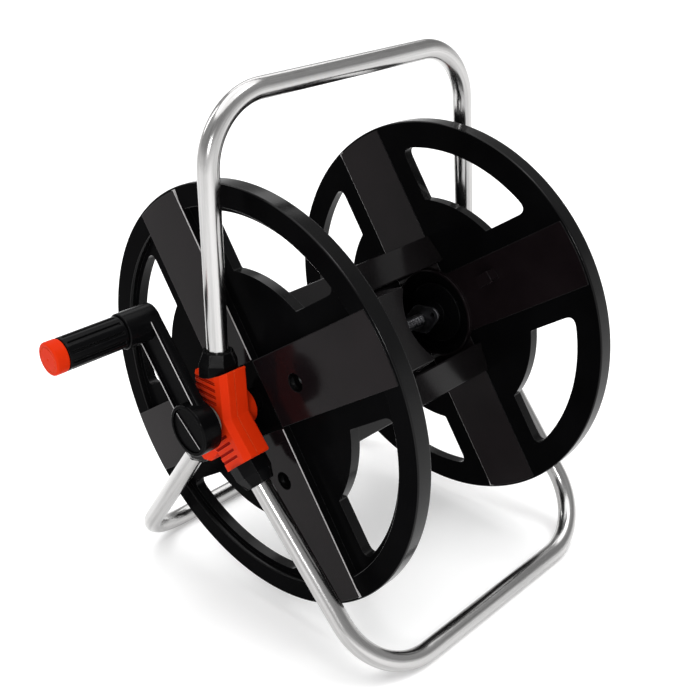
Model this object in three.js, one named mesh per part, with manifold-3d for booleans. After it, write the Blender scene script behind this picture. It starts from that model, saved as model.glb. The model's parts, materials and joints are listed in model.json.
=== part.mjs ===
// Portable hose reel: tubular stand, two side connectors, spoked drum and hand crank.
// Millimetres, +Z up. The axle runs along X, the crank is on the -X side, the front leg is towards -Y.
// The ground plane is z = 0 and the origin lies on it, straight below the middle of the axle.
import * as THREE from 'three';
import { mergeVertices } from 'three/addons/utils/BufferGeometryUtils.js';
import Module from 'manifold-3d';

const wasm = await Module();
wasm.setup();

// ---- driving dimensions ----
const FIT = 0.3;                    // clearance left between pieces that touch

const TUBE_R = 7.5;                 // stand tube, 15 mm outside
const TUBE_BORE = 6.4;
const TUBE_SIDES = 16;
const FACET_R = TUBE_R * 1.01;      // corner radius of the faceted tube
const FRAME_X = 136;                // tube centre lines cross the axle's height here, each side
const HANDLE_TOP = 218.1;           // top bar centre above the axle
const HANDLE_REACH = -8.3;          // the handle leans slightly to the front
const HANDLE_X = 125.5;             // and its sides lean in towards the top bar
const HANDLE_BEND = 48;
const LEG_DROP = 173.5;             // ground bar centre below the axle
const FRONT_REACH = -133;
const REAR_REACH = 150;
const LEG_X = 128;                  // the legs lean in towards the ground bars
const LEG_BEND = 53;
const TUBE_START = 16;              // tube ends stop this far from the axle
const AXLE_HEIGHT = LEG_DROP + FACET_R * Math.cos(Math.PI / TUBE_SIDES);

const SHELL_OUT = 145;              // side connector, x of its outer face
const SHELL_SPLIT = 135;
const SHELL_IN = 124;
const ARM_LENGTH = 37;
const TOP_ARM_HALF = 17.5;
const LEG_ARM_HALF = 17;
const ARM_BEVEL = 2;                // drum side
const FACE_BEVEL = 4;               // outer face
const SADDLE = 7;                   // dip of the top arm's end
const HORN_RISE = 4;                // the end's front horn stands this much higher
const RUN_OUT = 9;                  // side chamfers run this far past the arm ends, then are cut square
const TUBE_SCREW_AT = 28;
const SOCKET_R = TUBE_R + 0.5;
const BOSS_R = 13.8;
const BOSS_IN = 114;
const GROOVE = { count: 4, first: 15, pitch: 5.2, width: 1.6, depth: 1.2, length: 26, shift: 8 };
const BUSH_R = 11;
const SHAFT_R = 8;

const COLLAR_R = 14.3;
const COLLAR_TIP_R = 10.2;
const COLLAR_END = 55;              // distance from the axle
const TOP_COLLAR_END = 50.5;

const FLANGE_R = 160;
const FLANGE_OUT = 110.3;           // x of the rim's outer face
const WEB_OUT = 104.8;
const FLANGE_IN = 96.8;
const RIM_INNER_R = 143;
const WINDOW_OUT_R = 139;
const WINDOW_IN_R = 97;
const SPOKE_HALF = 42.5;
const PANEL_HALF = 25.5;
const PANEL_END_R = 156;            // the spoke panels run out across the rim
const PANEL_RISE = 0.7;
const SPOKE_ANGLES = [59.2, 149.2, 239.2, 329.2];
const SCREW_RADIUS = 62;            // slat screws, distance from the axle
const HUB_RECESS_R = 36.2;
const HUB_RING_R = 38.6;
const HUB_RING_RISE = 3.2;          // proud of the flange's drum side
const HUB_FLOOR = 101;
const RIM_CHAMFER = 1.6;
const PANEL_START_R = 26;
const LUG = { radius: 73, turn: -7, length: 15, width: 9, rise: 9 };

const SLAT_FACE = 60;               // slat outer face, distance from the axle
const SLAT_HALF = 30;
const SLAT_FOOT = 36.5;
const SLAT_FOOT_HALF = 34.5;
const SLAT_WALL = 3;
const SLAT_END = FLANGE_IN - PANEL_RISE - FIT;
const CUT_SLAT_END = 17;            // the short slat stops here
const CUT_RADIUS = 43;              // round edge that clears the hose
const CUT_CENTRE_X = 49.5;

const AXLE_TIP = 86;                // inner end of the axle pieces
const AXLE_DISC_R = 26;             // disc that sits in the flange's hub recess
const AXLE_DISC_DEPTH = 4;
const AXLE_NOSE_R = 12;
const WATERWAY_R = 3.5;
const SPINDLE_STEP = 147;
const SPINDLE_END = 159;
const SPINDLE_END_R = 6.5;

const TAIL_START = 51;              // hose tail, x of its open end
const TAIL_BORE_R = 2.6;
const RIB = { tip: 5.4, root: 4.6, pitch: 3 };
const TAIL_SHANK_R = 5;
const CLAMP_X = [77.5, 80];
const CLAMP_TURN = 62;
const NUT_X = [80.3, 83.8];
const NUT_R = 9.4;
const TAIL_HOLE_R = 5.8;

const INLET_LENGTH = 26;
const INLET_FLANGE_R = 17;
const INLET_THREAD_R = 13.2;
const INLET_BORE_R = 5;
const INLET_POCKET_R = 9;
const SEAL_X = [152, 154.4];

// screw heads: radius, depth, and the round well that each one sits in
const TUBE_SCREW = { r: 3.1, depth: 1.5, wellR: 3.5, wellDepth: 2.1 };
const SLAT_SCREW = { r: 4.2, depth: 1.8, wellR: 7, wellDepth: 2.5 };
const CRANK_SCREW = { r: 5.6, depth: 3.4, wellR: 6.2, wellDepth: 9 };
const SCREW_SINK = 0.3;

const CRANK_ANGLE = 56;
const CRANK_RADIUS = 80.5;
const CRANK_HUB_R = 19;
const CRANK_HUB_IN = 150.5;
const CRANK_HUB_OUT = 165.5;
const CRANK_ARM_IN = 151.5;
const CRANK_ARM_OUT = 160.5;
const CRANK_ARM_HALF = 15;
const TROUGH_HALF = 12.4;
const TROUGH_DEPTH = 3;
const CRANK_CUP_R = 16.4;           // round recess in the hub's face, filled by a cap
const CRANK_CUP_DEPTH = 3.6;
const CAP_DEPTH = 2.1;
const CRANK_BOSS_OUT = 178;
const CRANK_BOSS_R = 12.8;
const GRIP_R = 11.6;
const GRIP_OUT = 223.5;
const GRIP_CAP_OUT = 233.5;
const PIN_R = 4;
const PIN_SEAT = 17.6;              // the pin is pressed this deep into the arm's boss
const FLUTES = 10;

// ---- materials ----
const finish = (color, roughness, metalness) => ({ color, roughness, metalness });
const METAL = finish(0xc9cbcd, 0.22, 1.0);
const RED = finish(0xd8320f, 0.38, 0.0);
const BLACK = finish(0x141416, 0.28, 0.0);
const DARK = finish(0x1d1e20, 0.45, 0.0);
const STEEL = finish(0x9fa2a5, 0.35, 1.0);
const RUBBER = finish(0x0d0d0d, 0.8, 0.0);
const BUSHING = finish(0xcfcfc8, 0.5, 0.0);

const reel = new THREE.Group();
reel.name = 'hose_reel';
reel.position.z = AXLE_HEIGHT;

function addPiece(name, geometry, look) {
  const mesh = new THREE.Mesh(geometry, new THREE.MeshStandardMaterial(look));
  mesh.name = name;
  reel.add(mesh);
  return mesh;
}

// ---- solid helpers ----
function toSolid(geometry) {
  const bare = geometry.clone();
  bare.deleteAttribute('normal');
  bare.deleteAttribute('uv');
  const merged = mergeVertices(bare, 1e-4);
  return new wasm.Manifold(new wasm.Mesh({
    numProp: 3,
    vertProperties: Float32Array.from(merged.attributes.position.array),
    triVerts: Uint32Array.from(merged.index.array),
  }));
}

function toGeometry(solid) {
  const mesh = solid.getMesh();
  const geometry = new THREE.BufferGeometry();
  geometry.setAttribute('position', new THREE.BufferAttribute(mesh.vertProperties, 3));
  geometry.setIndex(new THREE.BufferAttribute(mesh.triVerts, 1));
  geometry.computeVertexNormals();
  return geometry;
}

// local x, y, z of a drawn shape become world y, z, x
const ALONG_X = new THREE.Matrix4().makeBasis(
  new THREE.Vector3(0, 1, 0), new THREE.Vector3(0, 0, 1), new THREE.Vector3(1, 0, 0));

function rad(degrees) {
  return degrees * Math.PI / 180;
}

function spanOf(side, inner, outer) {
  return side > 0 ? [inner, outer] : [-outer, -inner];
}

// a shape drawn in (y, z), extruded between two x stations; bevel eats into the given outline
function extrudeX(shape, x0, x1, bevel = 0, curveSegments = 12) {
  const geometry = new THREE.ExtrudeGeometry(shape, {
    depth: x1 - x0 - 2 * bevel,
    bevelEnabled: bevel > 0,
    bevelThickness: bevel,
    bevelSize: bevel,
    bevelOffset: -bevel,
    bevelSegments: 1,
    curveSegments,
  });
  geometry.translate(0, 0, x0 + bevel);
  geometry.applyMatrix4(ALONG_X);
  return geometry;
}

// turned piece about an X axis; profile is a closed list of [x, radius]
function turnX(profile, segments = 32, y = 0, z = 0) {
  const points = profile.map(([x, r]) => new THREE.Vector2(r, x));
  points.push(points[0].clone());
  let area = 0;
  for (let i = 0; i < points.length - 1; i += 1) {
    area += points[i].x * points[i + 1].y - points[i + 1].x * points[i].y;
  }
  if (area < 0) {
    points.reverse();
  }
  const geometry = new THREE.LatheGeometry(points, segments);
  // lathe axis +Y to world +X by a proper rotation
  geometry.applyMatrix4(new THREE.Matrix4().makeRotationZ(-Math.PI / 2));
  geometry.translate(0, y, z);
  return geometry;
}

function cylinderX(radius, x0, x1, segments = 32, y = 0, z = 0) {
  const geometry = new THREE.CylinderGeometry(radius, radius, x1 - x0, segments);
  geometry.rotateZ(Math.PI / 2);
  geometry.translate((x0 + x1) / 2, y, z);
  return geometry;
}

// cylinder or prism on a socket's centre line, between two distances from the axle's height
function socketPrism(side, socket, from, to, r0, r1, sides, twist = 0) {
  const geometry = new THREE.CylinderGeometry(r1, r0, to - from, sides);
  geometry.rotateY(twist);
  geometry.translate(0, (from + to) / 2, 0);
  geometry.rotateZ(side * socket.lean);
  geometry.rotateX(rad(socket.angle));
  geometry.translate(side * FRAME_X, 0, 0);
  return geometry;
}

function boxAt(dx, dy, dz, x, y, z, turn = 0) {
  const geometry = new THREE.BoxGeometry(dx, dy, dz);
  geometry.rotateX(turn);
  geometry.translate(x, y, z);
  return geometry;
}

// ---- stand tubes ----
// a path of straight runs joined by circular bends, sampled only where it turns
class BentPath extends THREE.Curve {
  constructor(corners, bendRadius, bendSteps) {
    super();
    this.points = [corners[0].clone()];
    this.tangents = [corners[1].clone().sub(corners[0]).normalize()];
    for (let i = 1; i < corners.length - 1; i += 1) {
      const into = corners[i].clone().sub(corners[i - 1]).normalize();
      const away = corners[i + 1].clone().sub(corners[i]).normalize();
      const turn = into.angleTo(away);
      const setback = bendRadius * Math.tan(turn / 2);
      const inward = away.clone().sub(into.clone().multiplyScalar(into.dot(away))).normalize();
      const start = corners[i].clone().addScaledVector(into, -setback);
      for (let k = 0; k <= bendSteps; k += 1) {
        const a = turn * k / bendSteps;
        this.points.push(start.clone()
          .addScaledVector(into, bendRadius * Math.sin(a))
          .addScaledVector(inward, bendRadius * (1 - Math.cos(a))));
        this.tangents.push(into.clone().multiplyScalar(Math.cos(a)).addScaledVector(inward, Math.sin(a)));
      }
    }
    this.points.push(corners[corners.length - 1].clone());
    this.tangents.push(this.tangents[this.tangents.length - 1].clone());
    this.runs = this.points.length - 1;
  }

  getUtoTmapping(u) {
    return u;
  }

  getPoint(t, target = new THREE.Vector3()) {
    return target.copy(this.points[Math.round(t * this.runs)]);
  }

  getTangent(t, target = new THREE.Vector3()) {
    return target.copy(this.tangents[Math.round(t * this.runs)]);
  }
}

function polygon(radius, sides, offset) {
  const points = [];
  for (let i = 0; i < sides; i += 1) {
    const a = offset + 2 * Math.PI * i / sides;
    points.push(new THREE.Vector2(radius * Math.cos(a), radius * Math.sin(a)));
  }
  return points;
}

// hollow round tube whose facets are turned so that one lies level on the underside of the middle run
function bentTube(corners, bendRadius) {
  const path = new BentPath(corners, bendRadius, 9);
  const frames = path.computeFrenetFrames(path.runs, false);
  const middle = Math.floor(path.runs / 2);
  const down = new THREE.Vector3(0, 0, -1);
  const facing = Math.atan2(down.dot(frames.binormals[middle]), down.dot(frames.normals[middle]));
  const offset = facing + Math.PI / TUBE_SIDES;
  const ring = new THREE.Shape(polygon(FACET_R, TUBE_SIDES, offset));
  ring.holes.push(new THREE.Path(polygon(TUBE_BORE, TUBE_SIDES, offset).reverse()));
  return new THREE.ExtrudeGeometry(ring, { steps: path.runs, extrudePath: path, bevelEnabled: false });
}

// each bent tube leaves both connectors at the same angle; lean is how far it tips towards the drum
function socketFor(place, reachY, reachZ, cornerX) {
  const distance = Math.hypot(reachY, reachZ);
  return {
    place,
    corner: new THREE.Vector3(cornerX, reachY, reachZ),
    angle: THREE.MathUtils.radToDeg(Math.atan2(reachZ, reachY)),
    lean: Math.atan2(FRAME_X - cornerX, distance),
  };
}

const TOP = socketFor('top', HANDLE_REACH, HANDLE_TOP, HANDLE_X);
const FRONT = socketFor('front', FRONT_REACH, -LEG_DROP, LEG_X);
const REAR = socketFor('rear', REAR_REACH, -LEG_DROP, LEG_X);
const SOCKETS = [TOP, FRONT, REAR];

function standPath(socket) {
  const farCorner = socket.corner;
  const nearCorner = new THREE.Vector3(-farCorner.x, farCorner.y, farCorner.z);
  const farStart = new THREE.Vector3(FRAME_X, 0, 0);
  farStart.addScaledVector(farCorner.clone().sub(farStart).normalize(), TUBE_START);
  const nearStart = new THREE.Vector3(-farStart.x, farStart.y, farStart.z);
  return [nearStart, nearCorner, farCorner, farStart];
}

addPiece('handle_tube', bentTube(standPath(TOP), HANDLE_BEND), METAL);
addPiece('front_leg_tube', bentTube(standPath(FRONT), LEG_BEND), METAL);
addPiece('rear_leg_tube', bentTube(standPath(REAR), LEG_BEND), METAL);

// ---- side connectors ----
// where one arm's left edge meets the next arm's right edge, both offset from the axle
function edgeMeeting(angleA, halfA, angleB, halfB) {
  const sine = Math.sin(angleB - angleA);
  const alongA = (halfB + halfA * Math.cos(angleB - angleA)) / sine;
  return new THREE.Vector2(
    alongA * Math.cos(angleA) - halfA * Math.sin(angleA),
    alongA * Math.sin(angleA) + halfA * Math.cos(angleA));
}

// three-armed outline, its top arm ending in a saddle; `grow` pushes every edge outwards and
// `longer` adds to the arms, whose ends are then all straight
function connectorShape(grow = 0, longer = 0) {
  const arms = [REAR, TOP, FRONT].map((socket) => ({
    angle: rad(socket.angle),
    half: grow + (socket === TOP ? TOP_ARM_HALF : LEG_ARM_HALF),
  }));
  const points = [];
  arms.forEach((arm, i) => {
    const along = new THREE.Vector2(Math.cos(arm.angle), Math.sin(arm.angle));
    const across = new THREE.Vector2(-along.y, along.x);
    const tip = ARM_LENGTH + grow + longer;
    const first = along.clone().multiplyScalar(tip).addScaledVector(across, -arm.half);
    const last = along.clone().multiplyScalar(tip).addScaledVector(across, arm.half);
    if (i === 1 && longer === 0) {
      last.addScaledVector(along, HORN_RISE);
      const dip = along.clone().multiplyScalar(tip - SADDLE);
      points.push(...new THREE.QuadraticBezierCurve(first, dip, last).getPoints(8));
    } else {
      points.push(first, last);
    }
    const next = arms[(i + 1) % arms.length];
    points.push(edgeMeeting(arm.angle, arm.half, next.angle, next.half));
  });
  return new THREE.Shape(points);
}

function shellTools(side) {
  const tools = SOCKETS.map((socket) => toSolid(
    socketPrism(side, socket, TUBE_START - 1, ARM_LENGTH + 8, SOCKET_R, SOCKET_R, 20)));
  tools.push(toSolid(cylinderX(BUSH_R + FIT, ...spanOf(side, BOSS_IN - 5, SHELL_OUT + 5), 32)));
  return tools;
}

// the screw that pins a tube in its socket sits on the drum side of the arm
function tubeScrewSpot(angle) {
  return [TUBE_SCREW_AT * Math.cos(rad(angle)), TUBE_SCREW_AT * Math.sin(rad(angle))];
}

// short parallel grooves on an arm's outer face, open at its rear edge
function grooves(side, angle, acrossSign) {
  const cuts = [];
  for (let i = 0; i < GROOVE.count; i += 1) {
    const distance = GROOVE.first + GROOVE.pitch * i;
    const across = acrossSign * GROOVE.shift;
    const y = distance * Math.cos(rad(angle)) - across * Math.sin(rad(angle));
    const z = distance * Math.sin(rad(angle)) + across * Math.cos(rad(angle));
    cuts.push(toSolid(
      boxAt(2 * GROOVE.depth, GROOVE.width, GROOVE.length, side * SHELL_OUT, y, z, rad(angle))));
  }
  return cuts;
}

// chamfered block whose parting face stays square: the plain stretch covers that end's chamfer
function shellBlank(side, inner, outer, plainInner, plainOuter, bevel) {
  const longArms = connectorShape(0, RUN_OUT);
  const chamfered = toSolid(extrudeX(longArms, ...spanOf(side, inner, outer), bevel));
  const squared = chamfered.add(toSolid(extrudeX(longArms, ...spanOf(side, plainInner, plainOuter))));
  return squared.intersect(toSolid(extrudeX(connectorShape(), ...spanOf(side, inner, outer))));
}

function outerShell(side) {
  const parting = SHELL_SPLIT + FIT / 2;
  let solid = shellBlank(side, parting, SHELL_OUT, parting, SHELL_OUT - FACE_BEVEL, FACE_BEVEL);
  const cuts = [...shellTools(side), ...grooves(side, TOP.angle, -1), ...grooves(side, FRONT.angle, 1)];
  cuts.forEach((tool) => {
    solid = solid.subtract(tool);
  });
  return toGeometry(solid);
}

function innerShell(side) {
  const parting = SHELL_SPLIT - FIT / 2;
  let solid = shellBlank(side, SHELL_IN, parting, SHELL_IN + ARM_BEVEL, parting, ARM_BEVEL);
  solid = solid.add(toSolid(cylinderX(BOSS_R, ...spanOf(side, BOSS_IN, SHELL_IN + 2), 32)));
  const cuts = shellTools(side);
  SOCKETS.forEach((socket) => {
    const [y, z] = tubeScrewSpot(socket.angle);
    const well = spanOf(side, SHELL_IN - 1, SHELL_IN + TUBE_SCREW.wellDepth);
    cuts.push(toSolid(cylinderX(TUBE_SCREW.wellR, ...well, 14, y, z)));
  });
  cuts.forEach((tool) => {
    solid = solid.subtract(tool);
  });
  return toGeometry(solid);
}

// cross-recess screw lying along X, its head facing `headSide`
function screw(headX, headSide, y, z, size) {
  const back = headX - headSide * size.depth;
  const head = toSolid(cylinderX(size.r, Math.min(headX, back), Math.max(headX, back), 12, y, z));
  const slotA = toSolid(boxAt(1.6, size.r * 1.3, 0.9, headX, y, z, rad(45)));
  const slotB = toSolid(boxAt(1.6, size.r * 1.3, 0.9, headX, y, z, rad(-45)));
  return toGeometry(head.subtract(slotA).subtract(slotB));
}

for (const [label, side] of [['near', -1], ['far', 1]]) {
  addPiece(`${label}_shell_outer`, outerShell(side), RED);
  addPiece(`${label}_shell_inner`, innerShell(side), RED);
  const envelope = toSolid(extrudeX(connectorShape(FIT), ...spanOf(side, SHELL_IN - 6, SHELL_OUT + 6)));
  for (const socket of SOCKETS) {
    const from = ARM_LENGTH + FIT - (socket.place === 'top' ? SADDLE * 0.6 : 0);
    const to = socket.place === 'top' ? TOP_COLLAR_END : COLLAR_END;
    const body = toSolid(socketPrism(side, socket, from, to, COLLAR_R, COLLAR_TIP_R, 8, Math.PI / 8));
    const bore = toSolid(socketPrism(side, socket, from - 5, to + 5, SOCKET_R, SOCKET_R, 20));
    addPiece(`${label}_collar_${socket.place}`,
      toGeometry(body.subtract(bore).subtract(envelope)), DARK);
    const [y, z] = tubeScrewSpot(socket.angle);
    addPiece(`${label}_tube_screw_${socket.place}`,
      screw(side * (SHELL_IN + SCREW_SINK), -side, y, z, TUBE_SCREW), STEEL);
  }
  const [b0, b1] = spanOf(side, BOSS_IN, SHELL_OUT - 0.4);
  addPiece(`${label}_bush`,
    turnX([[b0, SHAFT_R + FIT], [b1, SHAFT_R + FIT], [b1, BUSH_R], [b0, BUSH_R]]), BUSHING);
}

// ---- drum flanges ----
// window between two spokes: arcs concentric with the axle, sides parallel to the spokes
function windowPath(spokeAngle) {
  const base = rad(spokeAngle);
  const outer = Math.asin(SPOKE_HALF / WINDOW_OUT_R);
  const inner = Math.asin(SPOKE_HALF / WINDOW_IN_R);
  const ease = 0.07;
  const at = (radius, angle) => [radius * Math.cos(base + angle), radius * Math.sin(base + angle)];
  const path = new THREE.Path();
  const right = Math.PI / 2;
  path.moveTo(...at(WINDOW_IN_R, inner));
  path.absarc(0, 0, WINDOW_IN_R, base + inner, base + right - inner, false);
  const shoulder = WINDOW_OUT_R - 9;
  const shoulderAngle = Math.asin(SPOKE_HALF / shoulder);
  path.lineTo(...at(shoulder, right - shoulderAngle));
  path.quadraticCurveTo(...at(WINDOW_OUT_R, right - outer), ...at(WINDOW_OUT_R, right - outer - ease));
  path.absarc(0, 0, WINDOW_OUT_R, base + right - outer - ease, base + outer + ease, true);
  path.quadraticCurveTo(...at(WINDOW_OUT_R, outer), ...at(shoulder, shoulderAngle));
  path.closePath();
  return path;
}

function spokeBox(side, angle, inner, outer, half, x0, x1) {
  const geometry = boxAt(x1 - x0, outer - inner, 2 * half, side * (x0 + x1) / 2, (inner + outer) / 2, 0);
  geometry.rotateX(rad(angle));
  return geometry;
}

function flange(side) {
  const web = new THREE.Shape();
  web.absarc(0, 0, RIM_INNER_R + 4, 0, 2 * Math.PI, false);
  SPOKE_ANGLES.forEach((angle) => web.holes.push(windowPath(angle)));
  let solid = toSolid(extrudeX(web, ...spanOf(side, FLANGE_IN, WEB_OUT), 0, 10));
  const [r0, r1] = spanOf(side, FLANGE_IN, FLANGE_OUT);
  const rim = [
    [r0, RIM_INNER_R], [r1, RIM_INNER_R],
    [r1, FLANGE_R - RIM_CHAMFER], [r1 - RIM_CHAMFER, FLANGE_R],
    [r0 + RIM_CHAMFER, FLANGE_R], [r0, FLANGE_R - RIM_CHAMFER],
  ];
  solid = solid.add(toSolid(turnX(rim, 60)));
  const panel = [FLANGE_IN - PANEL_RISE, FLANGE_OUT + PANEL_RISE];
  SPOKE_ANGLES.forEach((angle) => {
    solid = solid.add(toSolid(spokeBox(side, angle, PANEL_START_R, PANEL_END_R, PANEL_HALF, ...panel)));
  });
  // hub: a proud ring round a round recess on the drum side
  const before = FLANGE_IN - 8;
  const beyond = FLANGE_OUT + 5;
  solid = solid.add(toSolid(
    cylinderX(HUB_RING_R, ...spanOf(side, FLANGE_IN - HUB_RING_RISE, FLANGE_IN + 1), 32)));
  solid = solid.subtract(toSolid(cylinderX(HUB_RECESS_R, ...spanOf(side, before, HUB_FLOOR), 32)));
  solid = solid.subtract(toSolid(cylinderX(SHAFT_R + FIT + 0.2, ...spanOf(side, before, beyond), 20)));
  SPOKE_ANGLES.forEach((angle) => {
    const y = SCREW_RADIUS * Math.cos(rad(angle));
    const z = SCREW_RADIUS * Math.sin(rad(angle));
    const well = spanOf(side, WEB_OUT - SLAT_SCREW.wellDepth, beyond);
    solid = solid.subtract(toSolid(cylinderX(SLAT_SCREW.wellR, ...well, 12, y, z)));
  });
  if (side > 0) {
    // bare lug for the end that the short slat does not reach
    const [from, to] = [LUG.radius - LUG.length / 2, LUG.radius + LUG.length / 2];
    solid = solid.add(toSolid(spokeBox(side, SPOKE_ANGLES[1] + LUG.turn, from, to, LUG.width / 2,
      FLANGE_IN - PANEL_RISE - LUG.rise, FLANGE_IN)));
  }
  return toGeometry(solid);
}

const SPOKE_LABELS = ['a', 'b', 'c', 'd'];

for (const [label, side] of [['near', -1], ['far', 1]]) {
  addPiece(`${label}_flange`, flange(side), BLACK);
  SPOKE_ANGLES.forEach((angle, i) => {
    const y = SCREW_RADIUS * Math.cos(rad(angle));
    const z = SCREW_RADIUS * Math.sin(rad(angle));
    addPiece(`${label}_slat_screw_${SPOKE_LABELS[i]}`,
      screw(side * (WEB_OUT - SCREW_SINK), side, y, z, SLAT_SCREW), STEEL);
  });
}

// ---- drum core ----
// channel-section slat drawn for a spoke that points along +y, flanks opening towards the axle
function slatShape() {
  const outline = [
    [SLAT_FOOT, -SLAT_FOOT_HALF], [SLAT_FACE, -SLAT_HALF],
    [SLAT_FACE, SLAT_HALF], [SLAT_FOOT, SLAT_FOOT_HALF],
    [SLAT_FOOT, SLAT_FOOT_HALF - SLAT_WALL], [SLAT_FACE - SLAT_WALL, SLAT_HALF - SLAT_WALL],
    [SLAT_FACE - SLAT_WALL, -SLAT_HALF + SLAT_WALL], [SLAT_FOOT, -SLAT_FOOT_HALF + SLAT_WALL],
  ];
  return new THREE.Shape(outline.map(([y, z]) => new THREE.Vector2(y, z)));
}

SPOKE_ANGLES.forEach((angle, i) => {
  const short = SPOKE_LABELS[i] === 'b';
  let solid = toSolid(extrudeX(slatShape(), -SLAT_END, short ? CUT_SLAT_END : SLAT_END));
  if (short) {
    const cutter = new THREE.CylinderGeometry(CUT_RADIUS, CUT_RADIUS, 2 * SLAT_FACE, 48);
    cutter.translate(CUT_CENTRE_X, SLAT_FACE, 0);
    solid = solid.subtract(toSolid(cutter));
  }
  const geometry = toGeometry(solid);
  geometry.rotateX(rad(angle));
  addPiece(`core_slat_${SPOKE_LABELS[i]}`, geometry, BLACK);
});

// ---- axle pieces ----
const discFace = HUB_FLOOR - FIT;
const discBack = discFace - AXLE_DISC_DEPTH;

// solid stub on the crank side, carried by the near flange
addPiece('near_axle', turnX([
  [-(CRANK_HUB_IN - FIT), 0], [-(CRANK_HUB_IN - FIT), SHAFT_R], [-discFace, SHAFT_R],
  [-discFace, AXLE_DISC_R], [-discBack, AXLE_DISC_R], [-discBack, AXLE_NOSE_R],
  [-AXLE_TIP, AXLE_NOSE_R], [-AXLE_TIP, 0],
], 24), DARK);

// hollow spindle on the water side, open from end to end
addPiece('far_spindle', turnX([
  [AXLE_TIP, WATERWAY_R], [AXLE_TIP, AXLE_NOSE_R - 3], [discBack, AXLE_NOSE_R - 3],
  [discBack, AXLE_DISC_R], [discFace, AXLE_DISC_R], [discFace, SHAFT_R], [SPINDLE_STEP, SHAFT_R],
  [SPINDLE_STEP, SPINDLE_END_R], [SPINDLE_END, SPINDLE_END_R], [SPINDLE_END, WATERWAY_R],
], 24), DARK);

// ribbed tail that the hose is clamped on, in line with the spindle
function tailProfile() {
  const end = AXLE_TIP - FIT;
  const points = [[TAIL_START, TAIL_BORE_R], [TAIL_START, RIB.root - 0.4]];
  for (let x = TAIL_START + 2; x < CLAMP_X[0] - RIB.pitch; x += RIB.pitch) {
    points.push([x, RIB.tip], [x + RIB.pitch / 2, RIB.root]);
  }
  points.push([CLAMP_X[0] - 1, TAIL_SHANK_R], [end, TAIL_SHANK_R], [end, TAIL_BORE_R]);
  return points;
}
addPiece('hose_tail', turnX(tailProfile(), 14), STEEL);

// lozenge clamp plate: half lengths along its own axes, drawn as straight sides between round tips
const LOZENGE = { tip: 20.5, shoulder: 16, shoulderHalf: 6.2, waist: 4, waistHalf: 11.4, bulge: 13 };

function clampPlateShape() {
  const { tip, shoulder, shoulderHalf, waist, waistHalf, bulge } = LOZENGE;
  const shape = new THREE.Shape();
  shape.moveTo(0, tip);
  shape.quadraticCurveTo(shoulderHalf - 2, tip - 0.5, shoulderHalf, shoulder);
  shape.lineTo(waistHalf, waist);
  shape.quadraticCurveTo(bulge, 0, waistHalf, -waist);
  shape.lineTo(shoulderHalf, -shoulder);
  shape.quadraticCurveTo(shoulderHalf - 2, -tip + 0.5, 0, -tip);
  shape.quadraticCurveTo(2 - shoulderHalf, -tip + 0.5, -shoulderHalf, -shoulder);
  shape.lineTo(-waistHalf, -waist);
  shape.quadraticCurveTo(-bulge, 0, -waistHalf, waist);
  shape.lineTo(-shoulderHalf, shoulder);
  shape.quadraticCurveTo(2 - shoulderHalf, tip - 0.5, 0, tip);
  return shape;
}

function clampPlate() {
  const boltAt = LOZENGE.shoulder - 1.5;
  const boltHoleR = 2.2;
  let solid = toSolid(extrudeX(clampPlateShape(), ...CLAMP_X, 0, 5));
  [[0, TAIL_HOLE_R], [boltAt, boltHoleR], [-boltAt, boltHoleR]].forEach(([z, radius]) => {
    solid = solid.subtract(toSolid(cylinderX(radius, CLAMP_X[0] - 1, CLAMP_X[1] + 1, 14, 0, z)));
  });
  const geometry = toGeometry(solid);
  geometry.rotateX(rad(CLAMP_TURN));
  return geometry;
}
addPiece('tail_clamp_plate', clampPlate(), STEEL);

const lockNut = new THREE.Shape(polygon(NUT_R, 6, 0));
const lockNutBore = new THREE.Path();
lockNutBore.absarc(0, 0, TAIL_HOLE_R, 0, 2 * Math.PI, true);
lockNut.holes.push(lockNutBore);
addPiece('tail_lock_nut', extrudeX(lockNut, ...NUT_X, 0, 12), STEEL);

// ---- water inlet on the far side ----
// distances from the connector's face, each with a radius: flange, neck with a groove, thread land
const inletProfile = [
  [FIT, INLET_POCKET_R], [FIT, INLET_FLANGE_R], [4, INLET_FLANGE_R], [5.5, INLET_THREAD_R],
  [8, INLET_THREAD_R], [8, INLET_THREAD_R - 1.2], [10, INLET_THREAD_R - 1.2], [10, INLET_THREAD_R],
  [INLET_LENGTH - 1, INLET_THREAD_R], [INLET_LENGTH, INLET_THREAD_R - 0.8],
  [INLET_LENGTH, INLET_BORE_R], [16, INLET_BORE_R], [16, INLET_POCKET_R],
];
addPiece('inlet_fitting', turnX(inletProfile.map(([x, r]) => [SHELL_OUT + x, r]), 28), DARK);
addPiece('spindle_seal', turnX([
  [SEAL_X[0], SPINDLE_END_R + FIT], [SEAL_X[1], SPINDLE_END_R + FIT],
  [SEAL_X[1], INLET_POCKET_R - FIT], [SEAL_X[0], INLET_POCKET_R - FIT],
], 28), RUBBER);

// ---- crank ----
const crankTurn = rad(CRANK_ANGLE);
const gripY = CRANK_RADIUS * Math.cos(crankTurn);
const gripZ = CRANK_RADIUS * Math.sin(crankTurn);

// rounded bar drawn along +y from the hub centre to the grip centre
function barShape(startR, endR, length) {
  const shape = new THREE.Shape();
  const lean = Math.acos((startR - endR) / length);
  shape.absarc(0, 0, startR, lean, 2 * Math.PI - lean, false);
  shape.absarc(length, 0, endR, -lean, lean, false);
  shape.closePath();
  return shape;
}

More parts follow.
